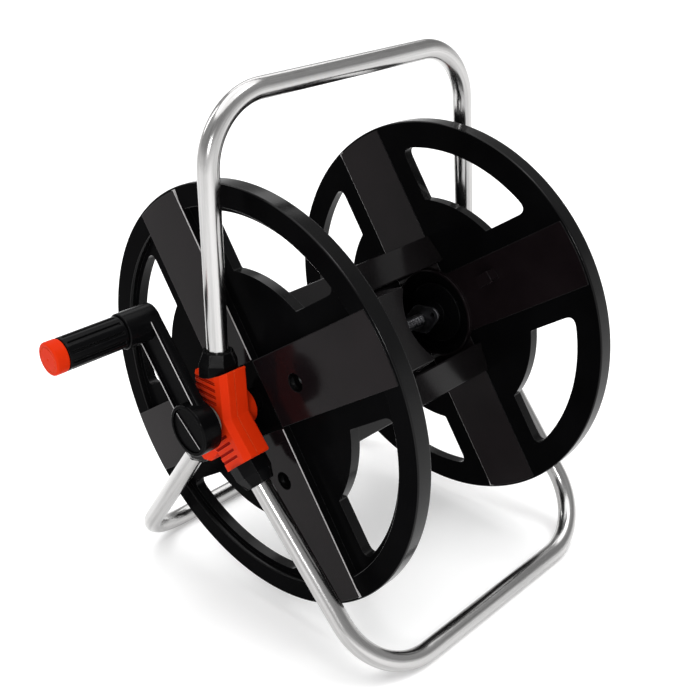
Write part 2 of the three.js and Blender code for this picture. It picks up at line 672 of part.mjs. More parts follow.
function crankArm() {
  const bar = extrudeX(
    barShape(CRANK_ARM_HALF, CRANK_BOSS_R, CRANK_RADIUS), -CRANK_ARM_OUT, -CRANK_ARM_IN, 0, 16);
  bar.rotateX(crankTurn);
  const troughFrom = CRANK_HUB_R - 4;
  const troughTo = CRANK_RADIUS - 4;
  const trough = boxAt(2 * TROUGH_DEPTH, troughTo - troughFrom, 2 * TROUGH_HALF, -CRANK_ARM_OUT,
    (troughFrom + troughTo) / 2, 0);
  trough.rotateX(crankTurn);
  const cup = [-CRANK_HUB_OUT - 1, -CRANK_HUB_OUT + CRANK_CUP_DEPTH];
  const screwWell = [-CRANK_HUB_OUT, -CRANK_HUB_OUT + CRANK_SCREW.wellDepth];
  const pinHole = [-CRANK_BOSS_OUT - 1, -CRANK_BOSS_OUT + PIN_SEAT + 0.4];
  return toGeometry(toSolid(bar)
    .subtract(toSolid(trough))
    .add(toSolid(cylinderX(CRANK_HUB_R, -CRANK_HUB_OUT, -CRANK_HUB_IN, 40)))
    .add(toSolid(cylinderX(CRANK_BOSS_R, -CRANK_BOSS_OUT, -CRANK_ARM_IN, 32, gripY, gripZ)))
    .subtract(toSolid(cylinderX(CRANK_CUP_R, ...cup, 40)))
    .subtract(toSolid(cylinderX(CRANK_SCREW.wellR, ...screwWell, 24)))
    .subtract(toSolid(cylinderX(PIN_R + FIT, ...pinHole, 24, gripY, gripZ))));
}
addPiece('crank_arm', crankArm(), DARK);

const capBack = -CRANK_HUB_OUT + CRANK_CUP_DEPTH - FIT;
addPiece('crank_screw', screw(capBack + 2 * FIT + 1.3, -1, 0, 0, CRANK_SCREW), STEEL);
addPiece('crank_hub_cap', cylinderX(CRANK_CUP_R - FIT, capBack - CAP_DEPTH, capBack, 40), BLACK);
addPiece('grip_pin',
  cylinderX(PIN_R, -(GRIP_OUT - 1), -CRANK_BOSS_OUT + PIN_SEAT, 20, gripY, gripZ), STEEL);

// ---- turning grip ----
// fluted sleeve: each flute is a crowned land and a groove, as turn (radians) and rise
const FLUTE_LINE = [[-0.31, -0.2], [-0.16, -0.05], [0, 0], [0.16, -0.05], [0.2, -1.45], [0.29, -1.45]];

function gripShape() {
  const points = [];
  for (let i = 0; i < FLUTES; i += 1) {
    const centre = 2 * Math.PI * i / FLUTES;
    FLUTE_LINE.forEach(([turn, rise]) => {
      const r = GRIP_R + rise;
      points.push(new THREE.Vector2(r * Math.cos(centre + turn), r * Math.sin(centre + turn)));
    });
  }
  const shape = new THREE.Shape(points);
  const bore = new THREE.Path();
  bore.absarc(0, 0, PIN_R + FIT + 0.1, 0, 2 * Math.PI, true);
  shape.holes.push(bore);
  return shape;
}

const sleeve = extrudeX(gripShape(), -GRIP_OUT, -(CRANK_BOSS_OUT + 0.5), 0, 12);
sleeve.translate(0, gripY, gripZ);
addPiece('grip_sleeve', sleeve, DARK);
addPiece('grip_end_cap', turnX([
  [-GRIP_CAP_OUT, 0], [-GRIP_CAP_OUT, 8.6], [-GRIP_CAP_OUT + 1.2, 10.6], [-GRIP_CAP_OUT + 3.2, GRIP_R],
  [-GRIP_OUT - FIT, GRIP_R], [-GRIP_OUT - FIT, 0],
], 32, gripY, gripZ), RED);

export default reel;
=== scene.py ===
"""Portable hose reel: the visual model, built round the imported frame.

Shapes are drawn in millimetres about the middle of the axle, with X along the axle, and become
metres in the frame's own coordinates when a piece is finished. Outlines are drawn in (y, z).
"""
import json
import math

import bmesh
import bpy
from mathutils import Matrix, Vector
from mathutils.geometry import tessellate_polygon


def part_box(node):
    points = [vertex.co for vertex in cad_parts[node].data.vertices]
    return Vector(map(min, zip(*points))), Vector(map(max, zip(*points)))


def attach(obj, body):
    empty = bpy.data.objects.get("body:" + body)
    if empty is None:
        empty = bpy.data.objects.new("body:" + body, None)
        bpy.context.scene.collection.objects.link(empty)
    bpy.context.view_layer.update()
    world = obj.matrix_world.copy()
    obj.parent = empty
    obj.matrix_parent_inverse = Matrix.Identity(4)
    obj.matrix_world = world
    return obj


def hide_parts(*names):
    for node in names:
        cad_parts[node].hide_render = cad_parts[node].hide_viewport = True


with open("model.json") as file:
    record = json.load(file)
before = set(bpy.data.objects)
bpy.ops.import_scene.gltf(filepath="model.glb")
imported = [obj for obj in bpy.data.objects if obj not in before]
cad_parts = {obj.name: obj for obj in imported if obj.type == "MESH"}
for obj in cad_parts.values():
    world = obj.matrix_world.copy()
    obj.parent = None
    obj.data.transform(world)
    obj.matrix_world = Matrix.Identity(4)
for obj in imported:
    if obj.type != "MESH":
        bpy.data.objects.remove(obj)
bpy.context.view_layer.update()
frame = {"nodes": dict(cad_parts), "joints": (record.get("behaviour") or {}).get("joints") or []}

MM = 0.001
JOINTS = {joint["name"]: joint for joint in frame["joints"]}
AXLE_Z = JOINTS["drum_spin"]["pos_m"][2]
GRIP_Y = JOINTS["grip_spin"]["pos_m"][1] / MM
GRIP_Z = (JOINTS["grip_spin"]["pos_m"][2] - AXLE_Z) / MM
TO_FRAME = Matrix.Translation((0, 0, AXLE_Z)) @ Matrix.Scale(MM, 4)
NEAR, FAR = -1, 1  # which way along X a side lies
SIDES = (("near", NEAR), ("far", FAR))


def add_object(name, data):
    item = bpy.data.objects.new(name, data)
    bpy.context.scene.collection.objects.link(item)
    return item


def extent(node):
    """Lowest and highest corner of a CAD node, in millimetres about the axle."""
    low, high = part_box(node)
    axle = Vector((0, 0, AXLE_Z))
    return (Vector(low) - axle) / MM, (Vector(high) - axle) / MM


def span(node, side=FAR):
    """A node's two ends along X, measured outwards on its own side."""
    low, high = extent(node)
    return (low.x, high.x) if side == FAR else (-high.x, -low.x)


# ------------ measures
FIT = 0.3  # clearance between pieces that touch
SMOOTH_ANGLE = 34  # degrees; a sharper fold is drawn as a crease
FLAT_ANGLE = 0.05  # degrees; faces folded by less are joined into one

# drum
FAR_LOW, FAR_HIGH = extent("far_flange")
FLANGE_R = FAR_HIGH.z
PANEL_OUT = FAR_HIGH.x  # outer face of the spoke panels
PANEL_RISE = 0.7
RIM_OUT = PANEL_OUT - PANEL_RISE
HUB_RING_X = span("near_flange", NEAR)[0]  # drum side of the proud hub ring
HUB_RING_RISE = 3.2
FLANGE_IN = HUB_RING_X + HUB_RING_RISE
PANEL_IN = FLANGE_IN - PANEL_RISE
WEB_OUT = FLANGE_IN + 8
HUB_FLOOR = FLANGE_IN + 4.2
LUG_X = FAR_LOW.x
RIM_DEPTH = RIM_OUT - FLANGE_IN
FLANGE_MIDDLE = (RIM_OUT + FLANGE_IN) / 2
HIGHLIGHT_LINE_WIDTH = 0.75  # width of the highlight line painted on a panel's lit edge
SPOKES = {"a": 59.2, "b": 149.2, "c": 239.2, "d": 329.2}
RIM_INNER_R = 143
WINDOW_OUT_R = 139
WINDOW_IN_R = 97
WINDOW_SHOULDER, WINDOW_EASE = 9, 4  # depth and turn of a window's eased outer corners
SPOKE_HALF = 42.5
PANEL_HALF = 25.5
PANEL_START_R = 26
PANEL_END_R = 158
HUB_RECESS_R = 36.2
HUB_RING_R = 38.6
BORE_R = 8.5
SCREW_RADIUS = 62  # distance of the slat screws from the axle
SLAT_SCREW_R, SLAT_SCREW_DEPTH = 4.2, 1.8
SLAT_WELL_R = 7
SLAT_WELL_FLOOR = WEB_OUT - 2.5
LUG_RADIUS, LUG_TURN, LUG_LENGTH, LUG_WIDTH = 73, -7, 15, 9

SLAT_FACE, SLAT_HALF = 60, 30  # outer face of a slat, and half its width
SLAT_FOOT, SLAT_FOOT_HALF = 36.5, 34.5
SLAT_WALL = 3
SLAT_END = span("core_slat_a")[1]
CUT_SLAT_END = 17  # slat b stops here, in a curve
CUT_RADIUS, CUT_CENTRE_X = 43, 49.5

SHAFT_R = 8
AXLE_TIP, AXLE_END = span("near_axle", NEAR)
DISC_R, DISC_DEPTH, NOSE_R = 26, 4, 12
WATERWAY_R = 3.5
SPINDLE_STEP, SPINDLE_END_R = 147, 6.5
SPINDLE_END = span("far_spindle")[1]
SPINDLE_NOSE_R = NOSE_R - 3

TAIL_START, TAIL_END = span("hose_tail")
TAIL_BORE_R, TAIL_SHANK_R = 2.6, 5
TAIL_TIP_R, TAIL_ROOT_R, TAIL_PITCH = 5.4, 4.5, 3
PLATE_X = span("tail_clamp_plate")
PLATE_TURN = 62
PLATE_HOLE_R, BOLT_HOLE_R, BOLT_AT = 5.8, 2.2, 14.5
NUT_X = span("tail_lock_nut")
NUT_R = 9.4
PAST_PLATE = 70, 90  # stretch of X that takes in both the plate and the nut

# stand
TUBE_R, TUBE_BORE_R = 7.43, 6.3
FRAME_X = 136  # where the tubes' centre lines meet, far side
TUBE_START = 16  # a tube's end is this far from that point
TOP_FACET, SIDE_FACET = 0.15, 0.1  # the round tube stops this far short of its CAD box
BEND_STEPS, TUBE_SEGMENTS = 20, 48
HANDLE_LOW, HANDLE_HIGH = extent("handle_tube")
FRONT_LOW = extent("front_leg_tube")[0]
REAR_LOW, REAR_HIGH = extent("rear_leg_tube")
HANDLE_X, HANDLE_BEND = 125.5, 48
LEG_X, LEG_BEND = 128, 53

SHELL_OUT = span("far_shell_outer")[1]
SHELL_SPLIT = 135
SHELL_IN = 124
BOSS_IN = span("far_shell_inner")[0]
BOSS_R, BUSH_R = 13.8, 11
ARM_LENGTH, TOP_ARM_HALF, LEG_ARM_HALF = 37, 17.5, 17
SADDLE = 7  # dip of the top arm's end
HORN_RISE = 4  # the end's front horn stands this much higher
REAR_DROP = 4  # and its rear horn stands this much lower
ARM_CORNER_R = 1.6
RUN_OUT = 9  # side chamfers run this far past the arm ends
SOCKET_R = 8
TUBE_SCREW_AT, TUBE_WELL_R, TUBE_WELL_DEPTH = 28, 3.5, 2.1
TUBE_SCREW_R, TUBE_SCREW_DEPTH = 3.1, 1.5
GROOVE_COUNT, GROOVE_FIRST, GROOVE_PITCH = 4, 15, 5.2
GROOVE_WIDTH, GROOVE_DEPTH, GROOVE_LENGTH, GROOVE_SHIFT = 2.5, 1.3, 26, 5
COLLAR_R, COLLAR_TIP_R, COLLAR_END, TOP_COLLAR_END = 14.3, 9.6, 55, 50.5
COLLAR_SINK, COLLAR_GAP = 2.5, 0.08  # the ring starts inside the arm and is trimmed off it
COLLAR_SLOPE = 0.42  # share of the ring that slopes in to the tube
INLET_START, INLET_END = span("inlet_fitting")
INLET_FLANGE_R, INLET_THREAD_R, INLET_BORE_R, INLET_POCKET_R = 17, 13.2, 5, 9
INLET_FLANGE_DEPTH, INLET_POCKET_DEPTH, INLET_THREAD_AT = 4, 15.7, 8
INLET_PITCH, INLET_FLATS = 2.0, 12

# crank and grip
CRANK_TURN = math.degrees(math.atan2(GRIP_Z, GRIP_Y))
CRANK_RADIUS = math.hypot(GRIP_Y, GRIP_Z)
HUB_BACK, BOSS_FRONT = span("crank_arm", NEAR)  # back of the hub, and end of the boss that carries the grip
HUB_FRONT = HUB_BACK + 15
HUB_R, CUP_R, CUP_DEPTH = 19, 16.4, 3.6
ARM_BACK, ARM_FRONT, ARM_FLOOR = HUB_BACK + 1, HUB_BACK + 10, HUB_BACK + 7.2
ARM_HALF, GRIP_BOSS_R, RIDGE_AT, RIDGE_HALF = 15, 12.8, 12.1, 0.5
RIB_HALF, RIB_RISE = 0.35, 0.9
RIB_TURN = 44  # direction of the rib across the hub cap
CAP_BACK, CAP_FACE = span("crank_hub_cap", NEAR)
CAP_R = 16.1
CRANK_WELL_R, CRANK_WELL_DEPTH = 6.2, 9
CRANK_SCREW_R, CRANK_SCREW_DEPTH = 5.6, 3.4
PIN_SEAT = 18
GRIP_START, GRIP_END = span("grip_sleeve", NEAR)
GRIP_R, GRIP_BORE_R, GRIP_BAND, FLUTES = 11.6, 4.4, 2.5, 10
PAST_GRIP = 150, 250  # stretch of X that takes in the whole grip
END_CAP_END = span("grip_end_cap", NEAR)[1]
END_GROOVE_IN_R, END_GROOVE_OUT_R = 8.1, 8.7
SCREW_CROWN = 0.36  # rise of every screw head


# ------------ outlines
def polar(radius, degrees):
    angle = math.radians(degrees)
    return Vector((radius * math.cos(angle), radius * math.sin(angle)))


def arc(radius, start, end, steps, centre=(0, 0)):
    """Points on a circle, from one angle to another, in degrees."""
    middle = Vector(centre)
    return [middle + polar(radius, start + (end - start) * i / steps) for i in range(steps + 1)]


def curve_through(start, control, end, steps):
    """Points of a quadratic curve, without its first point."""
    start, control, end = Vector(start), Vector(control), Vector(end)
    points = []
    for i in range(1, steps + 1):
        t = i / steps
        points.append(start * (1 - t) ** 2 + control * 2 * t * (1 - t) + end * t ** 2)
    return points


def soften(points, radius, steps=5, least_turn=15):
    """The closed outline with an arc at each corner that turns by more than `least_turn` degrees."""
    softened = []
    for i, corner in enumerate(points):
        before, corner, after = Vector(points[i - 1]), Vector(corner), Vector(points[(i + 1) % len(points)])
        into, away = corner - before, after - corner
        turn = into.angle(away, 0)
        if turn < math.radians(least_turn):
            softened.append(corner)
            continue
        setback = min(radius * math.tan(turn / 2), 0.45 * into.length, 0.45 * away.length)
        bend = setback / math.tan(turn / 2)
        into, away = into.normalized(), away.normalized()
        inward = (away - into * into.dot(away)).normalized()
        for k in range(steps + 1):
            angle = turn * k / steps
            softened.append(corner - into * setback
                            + into * bend * math.sin(angle) + inward * bend * (1 - math.cos(angle)))
    return softened


def inset(points, distance):
    """The closed outline moved to its left, which is towards the material."""
    moved = []
    for i, point in enumerate(points):
        into = (point - points[i - 1]).normalized()
        away = (points[(i + 1) % len(points)] - point).normalized()
        left_in, left_out = Vector((-into.y, into.x)), Vector((-away.y, away.x))
        moved.append(point + (left_in + left_out) * distance / (1 + left_in.dot(left_out)))
    return moved


def area(points):
    return sum(a.x * b.y - b.x * a.y for a, b in zip(points, points[1:] + points[:1])) / 2


def anticlockwise(points):
    points = [Vector(point) for point in points]
    return points if area(points) > 0 else points[::-1]


def turned(points, degrees):
    angle = math.radians(degrees)
    cos, sin = math.cos(angle), math.sin(angle)
    return [Vector((p[0] * cos - p[1] * sin, p[0] * sin + p[1] * cos)) for p in points]


def rectangle(y0, y1, z0, z1):
    return [(y0, z0), (y1, z0), (y1, z1), (y0, z1)]


def rod(x0, x1, radius):
    """Profile of a solid rod, to be turned about the axis."""
    return [(x0, 0), (x0, radius), (x1, radius), (x1, 0)]


# ------------ solids
def solid(vertices, faces):
    mesh = bpy.data.meshes.new("draft")
    mesh.from_pydata([tuple(v) for v in vertices], [], faces)
    cleaned = bmesh.new()
    cleaned.from_mesh(mesh)
    bmesh.ops.remove_doubles(cleaned, verts=cleaned.verts, dist=1e-4)
    bmesh.ops.recalc_face_normals(cleaned, faces=cleaned.faces)
    cleaned.to_mesh(mesh)
    cleaned.free()
    return add_object("draft", mesh)


def rounding(radius, steps=4):
    """A rim's profile from the flat face to the wall, as (depth below the face, inset from the wall)."""
    if not radius:
        return [(0, 0)]
    angles = [math.pi / 2 * k / steps for k in range(steps + 1)]
    return [(radius * (1 - math.cos(a)), radius * (1 - math.sin(a))) for a in angles]


def chamfer(size, blend):
    """A rim cut off at 45 degrees, eased into the face and into the wall."""
    steps, eased = 3, []
    for k in range(steps + 1):
        t = k / steps
        eased.append((blend * 0.7 * t ** 2, size + blend * (1 - t) ** 1.5))
    return eased + [(inward, depth) for depth, inward in reversed(eased)]


def prism(outline, x0, x1, edge0=0.0, edge1=0.0):
    """A flat shape with thickness along X; each edge is a rounding radius or a rim profile."""
    profiles = [edge if isinstance(edge, list) else rounding(edge) for edge in (edge0, edge1)]
    rings = [(x0 + depth, inward) for depth, inward in profiles[0]]
    rings += [(x1 - depth, inward) for depth, inward in reversed(profiles[1])]
    return loft(outline, rings)


def loft(outline, rings):
    """A solid whose outline shrinks by each ring's inset, given as (x, inset)."""
    outline = anticlockwise(outline)
    count = len(outline)
    vertices, faces = [], []
    for x, inward in rings:
        vertices += [(x, point.x, point.y) for point in inset(outline, inward)]
    for k in range(len(rings) - 1):
        a, b = k * count, (k + 1) * count
        faces += [(a + i, a + (i + 1) % count, b + (i + 1) % count, b + i) for i in range(count)]
    for first in (0, (len(rings) - 1) * count):
        flat = [Vector((y, z, 0)) for x, y, z in vertices[first:first + count]]
        faces += [tuple(first + i for i in triangle) for triangle in tessellate_polygon([flat])]
    return solid(vertices, faces)


def lathe(profile, segments=96, y=0.0, z=0.0):
    """A turned solid about an X axis; the profile is a closed list of (x, radius)."""
    vertices, faces = [], []
    count = len(profile)
    for s in range(segments):
        angle = 2 * math.pi * s / segments
        vertices += [(x, y + r * math.cos(angle), z + r * math.sin(angle)) for x, r in profile]
    for s in range(segments):
        a, b = s * count, (s + 1) % segments * count
        for i in range(count):
            j = (i + 1) % count
            if max(profile[i][1], profile[j][1]) >= 1e-6:
                faces.append((a + i, a + j, b + j, b + i))
    return solid(vertices, faces)


def turned_part(profile, radius, segments=96, y=0.0, z=0.0):
    """A turned solid whose profile corners off the axis are rounded."""
    softened = soften(profile, radius, 4)
    return lathe([(p.x, max(p.y, 0.0)) for p in softened], segments, y, z)


def drill(radius, x0, x1, y=0.0, z=0.0, segments=64):
    return lathe(rod(x0, x1, radius), segments, y, z)


def combine(base, tools, operation):
    """The base with each tool joined to it or cut from it."""
    for tool in tools:
        step = base.modifiers.new("combine", "BOOLEAN")
        step.operation = operation
        step.solver = "MANIFOLD"
        step.object = tool
        evaluated = base.evaluated_get(bpy.context.evaluated_depsgraph_get())
        result = bpy.data.meshes.new_from_object(evaluated)
        base.modifiers.clear()
        base.data = result
        bpy.data.objects.remove(tool)
    return base


def fuse(base, *tools):
    return combine(base, tools, "UNION")


def cut(base, *tools):
    return combine(base, tools, "DIFFERENCE")


def keep_inside(base, *tools):
    return combine(base, tools, "INTERSECT")


def moved(draft, matrix):
    draft.data.transform(matrix)
    if matrix.determinant() < 0:
        draft.data.flip_normals()
    return draft


def on_side(draft, side):
    """The solid drawn for the far side, mirrored when it belongs to the near side."""
    return draft if side > 0 else moved(draft, Matrix.Diagonal((-1, 1, 1, 1)))


def turn_x(draft, degrees):
    return moved(draft, Matrix.Rotation(math.radians(degrees), 4, "X"))


def thread(x0, x1, root, tip, pitch, bore, segments, steps, taper):
    """A hollow rod with a rounded helical thread that fades out at both ends."""
    count = max(8, round((x1 - x0) / pitch * steps))
    vertices, faces = [], []
    for i in range(count + 1):
        x = x0 + (x1 - x0) * i / count
        fade = min(1, (x - x0) / taper, (x1 - x) / taper)
        for s in range(segments):
            phase = (x / pitch - s / segments) % 1
            crest = min(1, max(0, 1.6 * (0.5 - 0.5 * math.cos(2 * math.pi * phase)) - 0.3))
            radius = root + (tip - root) * crest * fade
            angle = 2 * math.pi * s / segments
            vertices.append((x, radius * math.cos(angle), radius * math.sin(angle)))
    for x in (x1, x0):
        for s in range(segments):
            angle = 2 * math.pi * s / segments
            vertices.append((x, bore * math.cos(angle), bore * math.sin(angle)))
    rings = count + 3
    for i in range(rings):
        a, b = i * segments, (i + 1) % rings * segments
        faces += [(a + s, a + (s + 1) % segments, b + (s + 1) % segments, b + s) for s in range(segments)]
    return solid(vertices, faces)


# ------------ finishing a piece
def shade(piece):
    """Smooth faces, with a crease where two faces meet at a sharp angle."""
    surface = bmesh.new()
    surface.from_mesh(piece.data)
    bmesh.ops.remove_doubles(surface, verts=surface.verts, dist=1e-3 * MM)
    bmesh.ops.dissolve_degenerate(surface, dist=1e-3 * MM, edges=surface.edges)
    bmesh.ops.dissolve_limit(surface, angle_limit=math.radians(FLAT_ANGLE), verts=surface.verts,
                             edges=surface.edges, delimit={"MATERIAL"})
    for face in surface.faces:
        face.smooth = True
    for edge in surface.edges:
        edge.smooth = edge.calc_face_angle(0) < math.radians(SMOOTH_ANGLE)
    surface.to_mesh(piece.data)
    surface.free()
    weighted = piece.modifiers.new("weighted_normals", "WEIGHTED_NORMAL")
    weighted.keep_sharp = True


def finish(node, piece, body, slot, *materials):
    """Gives the drawn solid its material and puts it in the place of a CAD node."""
    piece.name = f"{node}_shape"
    piece.data.name = piece.name
    piece.data.transform(TO_FRAME)
    shade(piece)
    picks = [face.material_index for face in piece.data.polygons]
    piece.data.materials.clear()
    for material in materials:
        piece.data.materials.append(material)
    for face, pick in zip(piece.data.polygons, picks):
        face.material_index = pick if len(materials) > 1 else 0
    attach(piece, body)
    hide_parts(node)


def sort_faces(draft, choose):
    """Gives each face the material that `choose` picks from its centre and normal, as drawn."""
    for face in draft.data.polygons:
        face.material_index = choose(face.center, face.normal)


# ------------ materials
class Look:
    """A node material built round one Principled shader."""

    def __init__(self, name, **sockets):
        self.material = bpy.data.materials.new(name)
        self.material.use_nodes = True
        self.nodes = self.material.node_tree.nodes
        self.links = self.material.node_tree.links
        self.shader = self.nodes["Principled BSDF"]
        for socket, value in sockets.items():
            self.shader.inputs[socket.replace("_", " ")].default_value = value
        self.place = self.nodes.new("ShaderNodeTexCoord").outputs["Object"]

    def node(self, kind, **inputs):
        node = self.nodes.new(kind)
        for name, value in inputs.items():
            self.plug(value, node.inputs[name.replace("_", " ")])
        return node

    def plug(self, value, socket):
        if isinstance(value, bpy.types.NodeSocket):
            self.links.new(value, socket)
        else:
            socket.default_value = value

    def stretched(self, x, y, z, source=None):
        mapping = self.node("ShaderNodeMapping", Vector=source or self.place)
        mapping.inputs["Scale"].default_value = (x, y, z)
        return mapping.outputs["Vector"]

    def noise(self, scale, detail=3.0, roughness=0.5, at=None):
        texture = self.node("ShaderNodeTexNoise", Vector=at or self.place, Scale=scale, Detail=detail,
                            Roughness=roughness)
        return texture.outputs["Fac"]

    def spread(self, value, low, high, to_low=0.0, to_high=1.0):
        ranged = self.node("ShaderNodeMapRange", Value=value)
        for name, number in (("From Min", low), ("From Max", high), ("To Min", to_low), ("To Max", to_high)):
            ranged.inputs[name].default_value = number
        return ranged.outputs["Result"]

    def calc(self, operation, a, b):
        node = self.nodes.new("ShaderNodeMath")
        node.operation = operation
        node.use_clamp = True
        self.plug(a, node.inputs[0])
        self.plug(b, node.inputs[1])
        return node.outputs[0]

    def mix(self, amount, first, second):
        node = self.nodes.new("ShaderNodeMix")
        node.data_type = "RGBA"
        self.plug(amount, node.inputs["Factor"])
        self.plug(first, node.inputs["A"])
        self.plug(second, node.inputs["B"])
        return node.outputs["Result"]

    def edges(self, width):
        """1 along convex and concave edges, 0 on flat faces."""
        bevel = self.nodes.new("ShaderNodeBevel")
        bevel.samples = 4
        bevel.inputs["Radius"].default_value = width
        normal = self.nodes.new("ShaderNodeNewGeometry").outputs["Normal"]
        dot = self.nodes.new("ShaderNodeVectorMath")
        dot.operation = "DOT_PRODUCT"
        self.plug(bevel.outputs["Normal"], dot.inputs[0])
        self.plug(normal, dot.inputs[1])
        return self.spread(dot.outputs["Value"], 0.995, 0.85)

    def bump(self, height, strength, distance):
        node = self.node("ShaderNodeBump", Height=height, Strength=strength, Distance=distance)
        self.plug(node.outputs["Normal"], self.shader.inputs["Normal"])

    def base(self, colour):
        self.plug(colour, self.shader.inputs["Base Color"])

    def rough(self, value):
        self.plug(value, self.shader.inputs["Roughness"])


def moulded(name, colour, worn, roughness, gloss, grain, wear, swing):
    """Injection-moulded plastic: fine grain, faint clouding, handling marks and paler worn edges."""
    look = Look(name, Specular_IOR_Level=gloss)
    clouds = look.noise(22.0, 4.0)
    specks = look.noise(420.0, 2.0, 0.6)
    edge = look.calc("MULTIPLY", look.edges(0.0009), look.spread(specks, 0.35, 0.65, 0.2, 1.0))
    shade_low = tuple(c * (1 - swing) for c in colour) + (1,)
    shade_high = tuple(min(1, c * (1 + swing)) for c in colour) + (1,)
    tone = look.mix(look.spread(clouds, 0.3, 0.7), shade_low, shade_high)
    look.base(look.mix(look.calc("MULTIPLY", edge, wear), tone, worn + (1,)))
    smears = look.noise(60.0, 5.0, 0.6, look.stretched(1.0, 0.35, 1.4))
    dull = look.spread(smears, 0.3, 0.75, roughness * 0.8, roughness * 1.35)
    look.rough(look.calc("ADD", dull, look.calc("MULTIPLY", edge, 0.12)))
    look.bump(look.noise(grain, 3.0, 0.6), 0.05, 0.0002)
    return look.material


def drawn_tube():
    """Bright drawn metal: polishing bands along the tube, darkened partly as painted reflection bands, fine
    scratches along the tube, haze and handling marks.
    """
    look = Look("drawn_tube", Metallic=1.0)
    sweep = look.nodes["Texture Coordinate"].outputs["UV"]
    streaks = look.noise(1.0, 4.0, 0.6, look.stretched(160.0, 9.0, 1.0, sweep))
    bands_and_painted_reflection = look.noise(1.0, 2.0, 0.5, look.stretched(9.0, 0.35, 1.0, sweep))
    haze = look.noise(14.0, 4.0)
    # darker and lighter bands along the tube: random polishing tone, and partly painted reflection bands
    tone = look.mix(look.spread(bands_and_painted_reflection, 0.36, 0.62), (0.29, 0.286, 0.284, 1), (0.50, 0.494, 0.49, 1))
    look.base(look.mix(look.spread(streaks, 0.25, 0.75, 0.0, 0.3), tone, (0.66, 0.655, 0.65, 1)))
    look.rough(look.calc("ADD", look.spread(haze, 0.3, 0.75, 0.0, 0.06),
                         look.spread(streaks, 0.3, 0.8, 0.14, 0.22)))
    look.bump(streaks, 0.08, 0.0001)
    return look.material


def plated(name, colour, roughness=0.32):
    """Zinc-plated steel: cloudy passivation, turning marks and rubbed edges."""
    look = Look(name, Metallic=1.0)
    clouds = look.noise(160.0, 4.0, 0.6)
    edge = look.edges(0.0004)
    low = tuple(c * 0.72 for c in colour) + (1,)
    tone = look.mix(look.spread(clouds, 0.3, 0.7), low, colour + (1,))
    look.base(look.mix(edge, tone, tuple(min(1, c * 1.35) for c in colour) + (1,)))
    rings = look.noise(1.0, 2.0, 0.5, look.stretched(5000.0, 60.0, 60.0))
    look.rough(look.spread(clouds, 0.3, 0.7, roughness - 0.06, roughness + 0.12))
    look.bump(rings, 0.1, 0.0001)
    return look.material


def rubber():
    look = Look("seal_rubber_look", Specular_IOR_Level=0.3)
    dust = look.noise(700.0, 4.0, 0.7)
    look.base(look.mix(look.spread(dust, 0.4, 0.8), (0.008, 0.008, 0.008, 1), (0.03, 0.03, 0.03, 1)))
    look.rough(look.spread(dust, 0.3, 0.7, 0.65, 0.85))
    look.bump(dust, 0.3, 0.0002)
    return look.material


TUBE = drawn_tube()
# name, colour, colour of a worn edge, roughness, gloss, scale of the grain, wear, swing of the tone
RED = moulded("red_moulding", (0.58, 0.025, 0.003), (0.84, 0.16, 0.05), 0.34, 0.022, 700.0, 0.4, 0.08)
# darker red painted into the grooves as their shade
GROOVE_SHADE = moulded("red_groove_shade", (0.26, 0.005, 0.002), (0.4, 0.02, 0.01), 0.5, 0.01, 700.0, 0.3, 0.08)
WEB = moulded("black_moulding", (0.002, 0.002, 0.0022), (0.03, 0.03, 0.031), 0.16, 0.003, 900.0, 0.4, 0.25)
WALL = moulded("black_wall", (0.003, 0.003, 0.0032), (0.04, 0.04, 0.041), 0.16, 0.13, 900.0, 0.5, 0.25)
PANEL = moulded("black_panel", (0.0058, 0.0040, 0.0046), (0.03, 0.03, 0.031), 0.12, 0.06, 900.0, 0.4, 0.25)
SLAT = moulded("black_slat", (0.0048, 0.0042, 0.0045), (0.03, 0.03, 0.031), 0.14, 0.32, 900.0, 0.4, 0.25)
DARK = moulded("satin_black", (0.0022, 0.0022, 0.0025), (0.03, 0.03, 0.03), 0.2, 0.05, 600.0, 0.5, 0.25)
RING = moulded("black_ring", (0.0026, 0.0026, 0.0028), (0.05, 0.05, 0.05), 0.25, 0.018, 600.0, 0.6, 0.25)
FACE = moulded("flat_black", (0.0022, 0.0022, 0.0025), (0.03, 0.03, 0.03), 0.3, 0.008, 600.0, 0.5, 0.25)
PALE = moulded("bearing_plastic", (0.60, 0.60, 0.56), (0.7, 0.7, 0.68), 0.45, 0.4, 500.0, 0.3, 0.08)
# pale grey painted on thin edges and crests as highlight lines
PAINTED_HIGHLIGHT = moulded("painted_highlight_line", (0.36, 0.35, 0.35), (0.5, 0.5, 0.5), 0.3, 0.5, 600.0, 0.4, 0.2)
ZINC = plated("zinc_plate", (0.46, 0.47, 0.48))
DARK_ZINC = plated("oiled_plate", (0.16, 0.16, 0.17), 0.36)
RUBBER = rubber()


# ------------ stand tubes
def bent_path(corners, bend_radius):
    """Stations along straight runs joined by circular bends: (point, direction) pairs."""
    corners = [Vector(corner) for corner in corners]
    path = [(corners[0], (corners[1] - corners[0]).normalized())]
    for i in range(1, len(corners) - 1):
        into = (corners[i] - corners[i - 1]).normalized()
        away = (corners[i + 1] - corners[i]).normalized()
        turn = into.angle(away)
        inward = (away - into * into.dot(away)).normalized()
        start = corners[i] - into * bend_radius * math.tan(turn / 2)
        for k in range(BEND_STEPS + 1):
            a = turn * k / BEND_STEPS
            point = start + into * bend_radius * math.sin(a) + inward * bend_radius * (1 - math.cos(a))
            path.append((point, into * math.cos(a) + inward * math.sin(a)))
    path.append((corners[-1], path[-1][1]))
    return path


